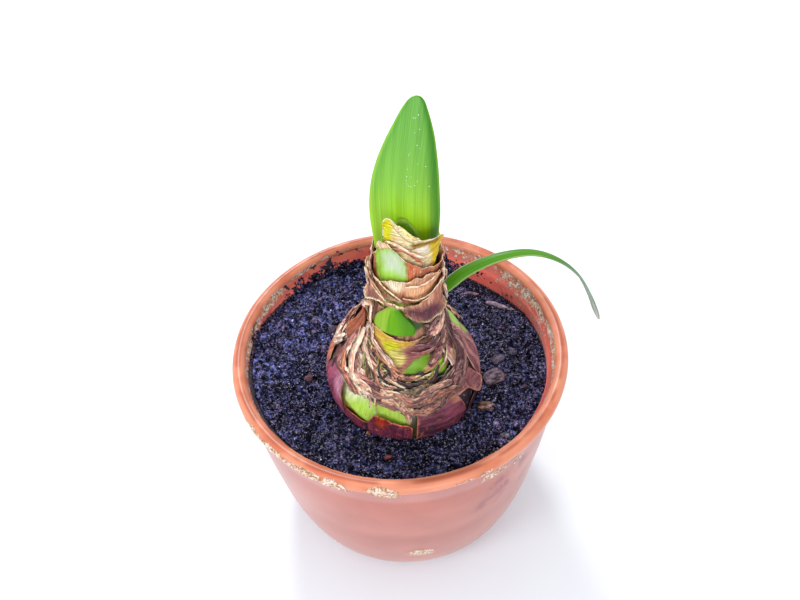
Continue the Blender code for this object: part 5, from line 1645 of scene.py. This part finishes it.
def make_drops():
    """Tiny specks of water on the broad leaf."""
    draw = random.Random(SEED + 5)
    ball, ball_faces = pebble_shapes()
    shapes = []
    for _ in range(WATER_SPECKS):
        u, height = draw.uniform(-0.7, 1) ** 2 * 0.8, draw.uniform(202, 240)
        half = float(smooth([(z, h) for z, _, h in MAIN_ROWS], height))
        middle = float(smooth([(z, x) for z, x, _ in MAIN_ROWS], height))
        narrow = half / MAIN_HALF
        bulge = MAIN_CUP * narrow**2
        leaf_thick = 0.5 + (MAIN_THICK * narrow**0.5 - 0.5) * (1 - u * u)
        front = MAIN_EDGE_Y - bulge + bulge * u * u - leaf_thick / 2
        size = draw.uniform(0.14, 0.26)
        points = (ball * (size, size * 0.6, size * 1.2) + (middle + u * half, front, height)) * MM
        shapes.append((points, ball_faces, shade(255, 255, 255), points))
    points, faces, _, _ = join(shapes)
    drops = build("water_specks", points, faces, DROP_FINISH)
    dress(drops, "leaf_green")


# Bits in the soil


def make_chip(name, x, y, size, turn, lit_top_tone, shaded_side_tone, node, slot, seed):
    """A worn flake of bark or wood, blocky and rough on every face."""
    points, faces = pebble_shapes(4)
    points = np.sign(points) * np.abs(points) ** 0.62 * 0.56
    loose = 0 if node else 1
    shape = 1 + (0.24 + 0.3 * loose) * layered(points[:, 0] * 2 + seed, points[:, 1] * 2, points[:, 2] * 2)
    dented = np.abs(layered(points[:, 0] * 4, points[:, 1] * 7 + seed, points[:, 2] * 9))
    shape = shape - (0.26 + 0.2 * loose) * dented
    tone = layered(points[:, 0] * 6, points[:, 1] * 10, points[:, 2] * 9 + seed)
    # Painted light and shade: the top is coloured lighter and the sides darker
    up = ramp((points[:, 2] - 0.1) / 0.3)
    points = points * shape[:, None] * size
    tint = blend(np.broadcast_to(shaded_side_tone, points.shape), lit_top_tone, up * ramp(0.6 + tone))
    tint = blend(tint, shaded_side_tone * 0.4, ramp(0.1 - 1.5 * tone))
    low = height_at(soil_height, x, y)
    place = Matrix.Translation((x, y, low + (0.15 - 0.15 * loose) * size[2])) @ Matrix.Rotation(turn, 4, "Z")
    place = np.array(place @ Matrix.Rotation(0.15, 4, "X"))
    points = points @ place[:3, :3].T + place[:3, 3]
    chip = build(name, points, faces, WOOD_FINISH, tint=tint)
    dress(chip, slot, *([node] if node else []))


def make_twig(name, start, end, radius, tone, node):
    """A knobbly bit of twig."""
    steps, sides = 40, 12
    t = np.linspace(0, 1, steps)
    x = start[0] + (end[0] - start[0]) * t
    y = start[1] + (end[1] - start[1]) * t + 1.2 * MM * np.sin(math.pi * t)
    knots = np.linspace(0, 1, 6)
    knot_x = start[0] + (end[0] - start[0]) * knots
    knot_y = start[1] + (end[1] - start[1]) * knots + 1.2 * MM * np.sin(math.pi * knots)
    z = np.interp(t, knots, soil_height(knot_x, knot_y)) + 0.35 * radius
    along = np.gradient(np.column_stack([x, y, z]), axis=0)
    along /= np.linalg.norm(along, axis=1, keepdims=True)
    side = np.cross(along, (0, 0, 1.0))
    side /= np.linalg.norm(side, axis=1, keepdims=True)
    other = np.cross(side, along)
    turn = np.radians(np.linspace(0, 360, sides, endpoint=False))[:, None]
    thick = radius * (1 + 0.25 * layered(np.cos(turn) * 1.5, np.sin(turn) * 1.5, t[None] * 14 + 3))
    thick = thick * (0.25 + 0.75 * np.sin(np.clip(t * 14, 0, math.pi / 2)) *
                     np.sin(np.clip((1 - t) * 9, 0, math.pi / 2)))
    rings = np.column_stack([x, y, z])[None] + thick[..., None] * (np.cos(turn)[..., None] * side[None] +
                                                                     np.sin(turn)[..., None] * other[None])
    mottle = layered(np.cos(turn) * 2, np.sin(turn) * 2, t[None] * 20)
    tint = blend(np.broadcast_to(tone * 0.6, rings.shape), tone * 1.3, ramp(0.4 + mottle))
    quads = grid_faces(sides, steps, closed=True).tolist()
    caps = [[int(column * steps) for column in range(sides)],
            [int(column * steps + steps - 1) for column in range(sides)]]
    twig = build(name, rings, quads + caps, WOOD_FINISH, tint=tint)
    tidy_normals(twig)
    dress(twig, "bark", node)


LOOSE_BITS = [("bit_tan", -16.5, -44.5, (3.0, 2.0, 1.4), 0.9, shade(206, 150, 110), shade(150, 96, 70)),
              ("bit_purple", -33, 19, (5.5, 4.0, 3.0), 0.3, shade(92, 76, 104), shade(54, 44, 66)),
              ("bit_red", -44, -12, (4.4, 3.6, 2.2), 0.8, shade(104, 66, 80), shade(62, 42, 58)),
              ("bit_white", -62, 22, (1.2, 1.0, 0.8), 0.2, shade(206, 216, 232), shade(160, 168, 190)),
              ("bit_grey", 44, -50, (3.6, 3.0, 2.4), 0.5, shade(140, 136, 152), shade(84, 80, 100)),
              ("bit_lump", 47, -7, (6.0, 4.0, 3.0), 0.6, shade(104, 92, 112), shade(50, 44, 64)),
              ("bit_lump_far", 55, -3, (4.0, 3.0, 2.4), 1.4, shade(92, 82, 104), shade(46, 42, 62)),
              ("bit_back", 10, 55, (3.5, 3.0, 2.0), 0.6, shade(96, 74, 84), shade(56, 46, 66)),
              ("bit_orange", -8, -58, (2.6, 1.6, 1.2), 0.1, shade(190, 100, 84), shade(130, 60, 56))]


def make_bits():
    make_chip("bark_flake", 43.5 * MM, -18 * MM, (10 * MM, 7.5 * MM, 3.5 * MM), 0.4, shade(134, 114, 128),
              shade(70, 52, 68), "bark_chip", "bark", 3)
    make_chip("wood_flake", 37.6 * MM, -33.5 * MM, (7 * MM, 4 * MM, 2.4 * MM), -0.2, shade(190, 144, 120),
              shade(70, 52, 60), "wood_chip", "wood_bits", 5)
    make_twig("twig_long_bark", (48 * MM, 36 * MM), (63 * MM, 29 * MM), 1.35 * MM, shade(186, 160, 180),
              "twig_long")
    make_twig("twig_short_bark", (38 * MM, 44.5 * MM), (46 * MM, 42 * MM), 1.1 * MM, shade(150, 112, 136),
              "twig_short")
    for i, (name, x, y, size, turn, lit_top_tone, shaded_side_tone) in enumerate(LOOSE_BITS):
        make_chip(name, x * MM, y * MM, tuple(s * MM for s in size), turn, lit_top_tone, shaded_side_tone, None, "bark",
                  40 + i)


# Stage

CAMERA_PLACE = (0.0, -0.20304, 0.3456)
CAMERA_LOOK = (0.0056, 0.7014, -0.7127)
CAMERA_RIGHT = (0.9979, -0.0501, -0.0415)
CAMERA_LENS = 28.8
FLOOR = 30


def area_light(name, place, target, size, power):
    light = bpy.data.lights.new(name, "AREA")
    light.shape = "DISK"
    light.size = size
    light.energy = power
    made = bpy.data.objects.new(name, light)
    made.location = place
    made.rotation_euler = (Vector(target) - Vector(place)).to_track_quat("-Z", "Y").to_euler()
    bpy.context.scene.collection.objects.link(made)


def make_stage():
    scene = bpy.context.scene
    table = Finish("white_table", Roughness=0.6, Specular_IOR_Level=0.2)
    cloud = table.noise(table.place(), 3.0)
    near = table.mix(table.spread(cloud, 0.3, 0.7), (0.72, 0.765, 0.82), (0.73, 0.775, 0.83))
    distance = table.node("VectorMath", {"operation": "LENGTH"}, Vector=table.place()).outputs["Value"]
    table.use(Base_Color=table.mix(table.spread(distance, 0.4, 1.5), near, (0.96, 0.96, 0.96)))
    corners = [(-FLOOR, -FLOOR, 0), (FLOOR, -FLOOR, 0), (FLOOR, FLOOR, 0), (-FLOOR, FLOOR, 0)]
    floor = build("table", corners, [[0, 1, 2, 3]], table.material)
    floor.location.z = -0.02 * MM
    world = bpy.data.worlds.new("studio")
    world.use_nodes = True
    world.node_tree.nodes["Background"].inputs["Color"].default_value = (0.99, 0.99, 1, 1)
    world.node_tree.nodes["Background"].inputs["Strength"].default_value = 1.06
    scene.world = world
    area_light("key", (-0.15, 0.8, 0.9), (0, 0, 0.1), 0.3, 8)
    area_light("left_box", (-0.85, -0.5, 0.65), (0, 0, 0.07), 0.4, 4.4)
    area_light("front_box", (0.25, -1.2, 0.45), (0, 0, 0.12), 0.6, 5.5)
    camera = bpy.data.objects.new("camera", bpy.data.cameras.new("camera"))
    camera.data.lens = CAMERA_LENS
    camera.data.clip_start = 0.01
    look = Vector(CAMERA_LOOK).normalized()
    right = Vector(CAMERA_RIGHT).normalized()
    up = right.cross(look)
    turned = Matrix((right, up, -look)).transposed().to_4x4()
    camera.matrix_world = Matrix.Translation(CAMERA_PLACE) @ turned
    scene.collection.objects.link(camera)
    scene.camera = camera
    scene.view_settings.view_transform = "Standard"


make_stage()
make_pot()
make_soil()
make_crumbs()
make_fibres()
make_flesh()
for skin_name in SKINS:
    dress_skin(skin_name)
make_strips()
make_scales()
make_leaves()
make_stub()
make_drops()
make_bits()
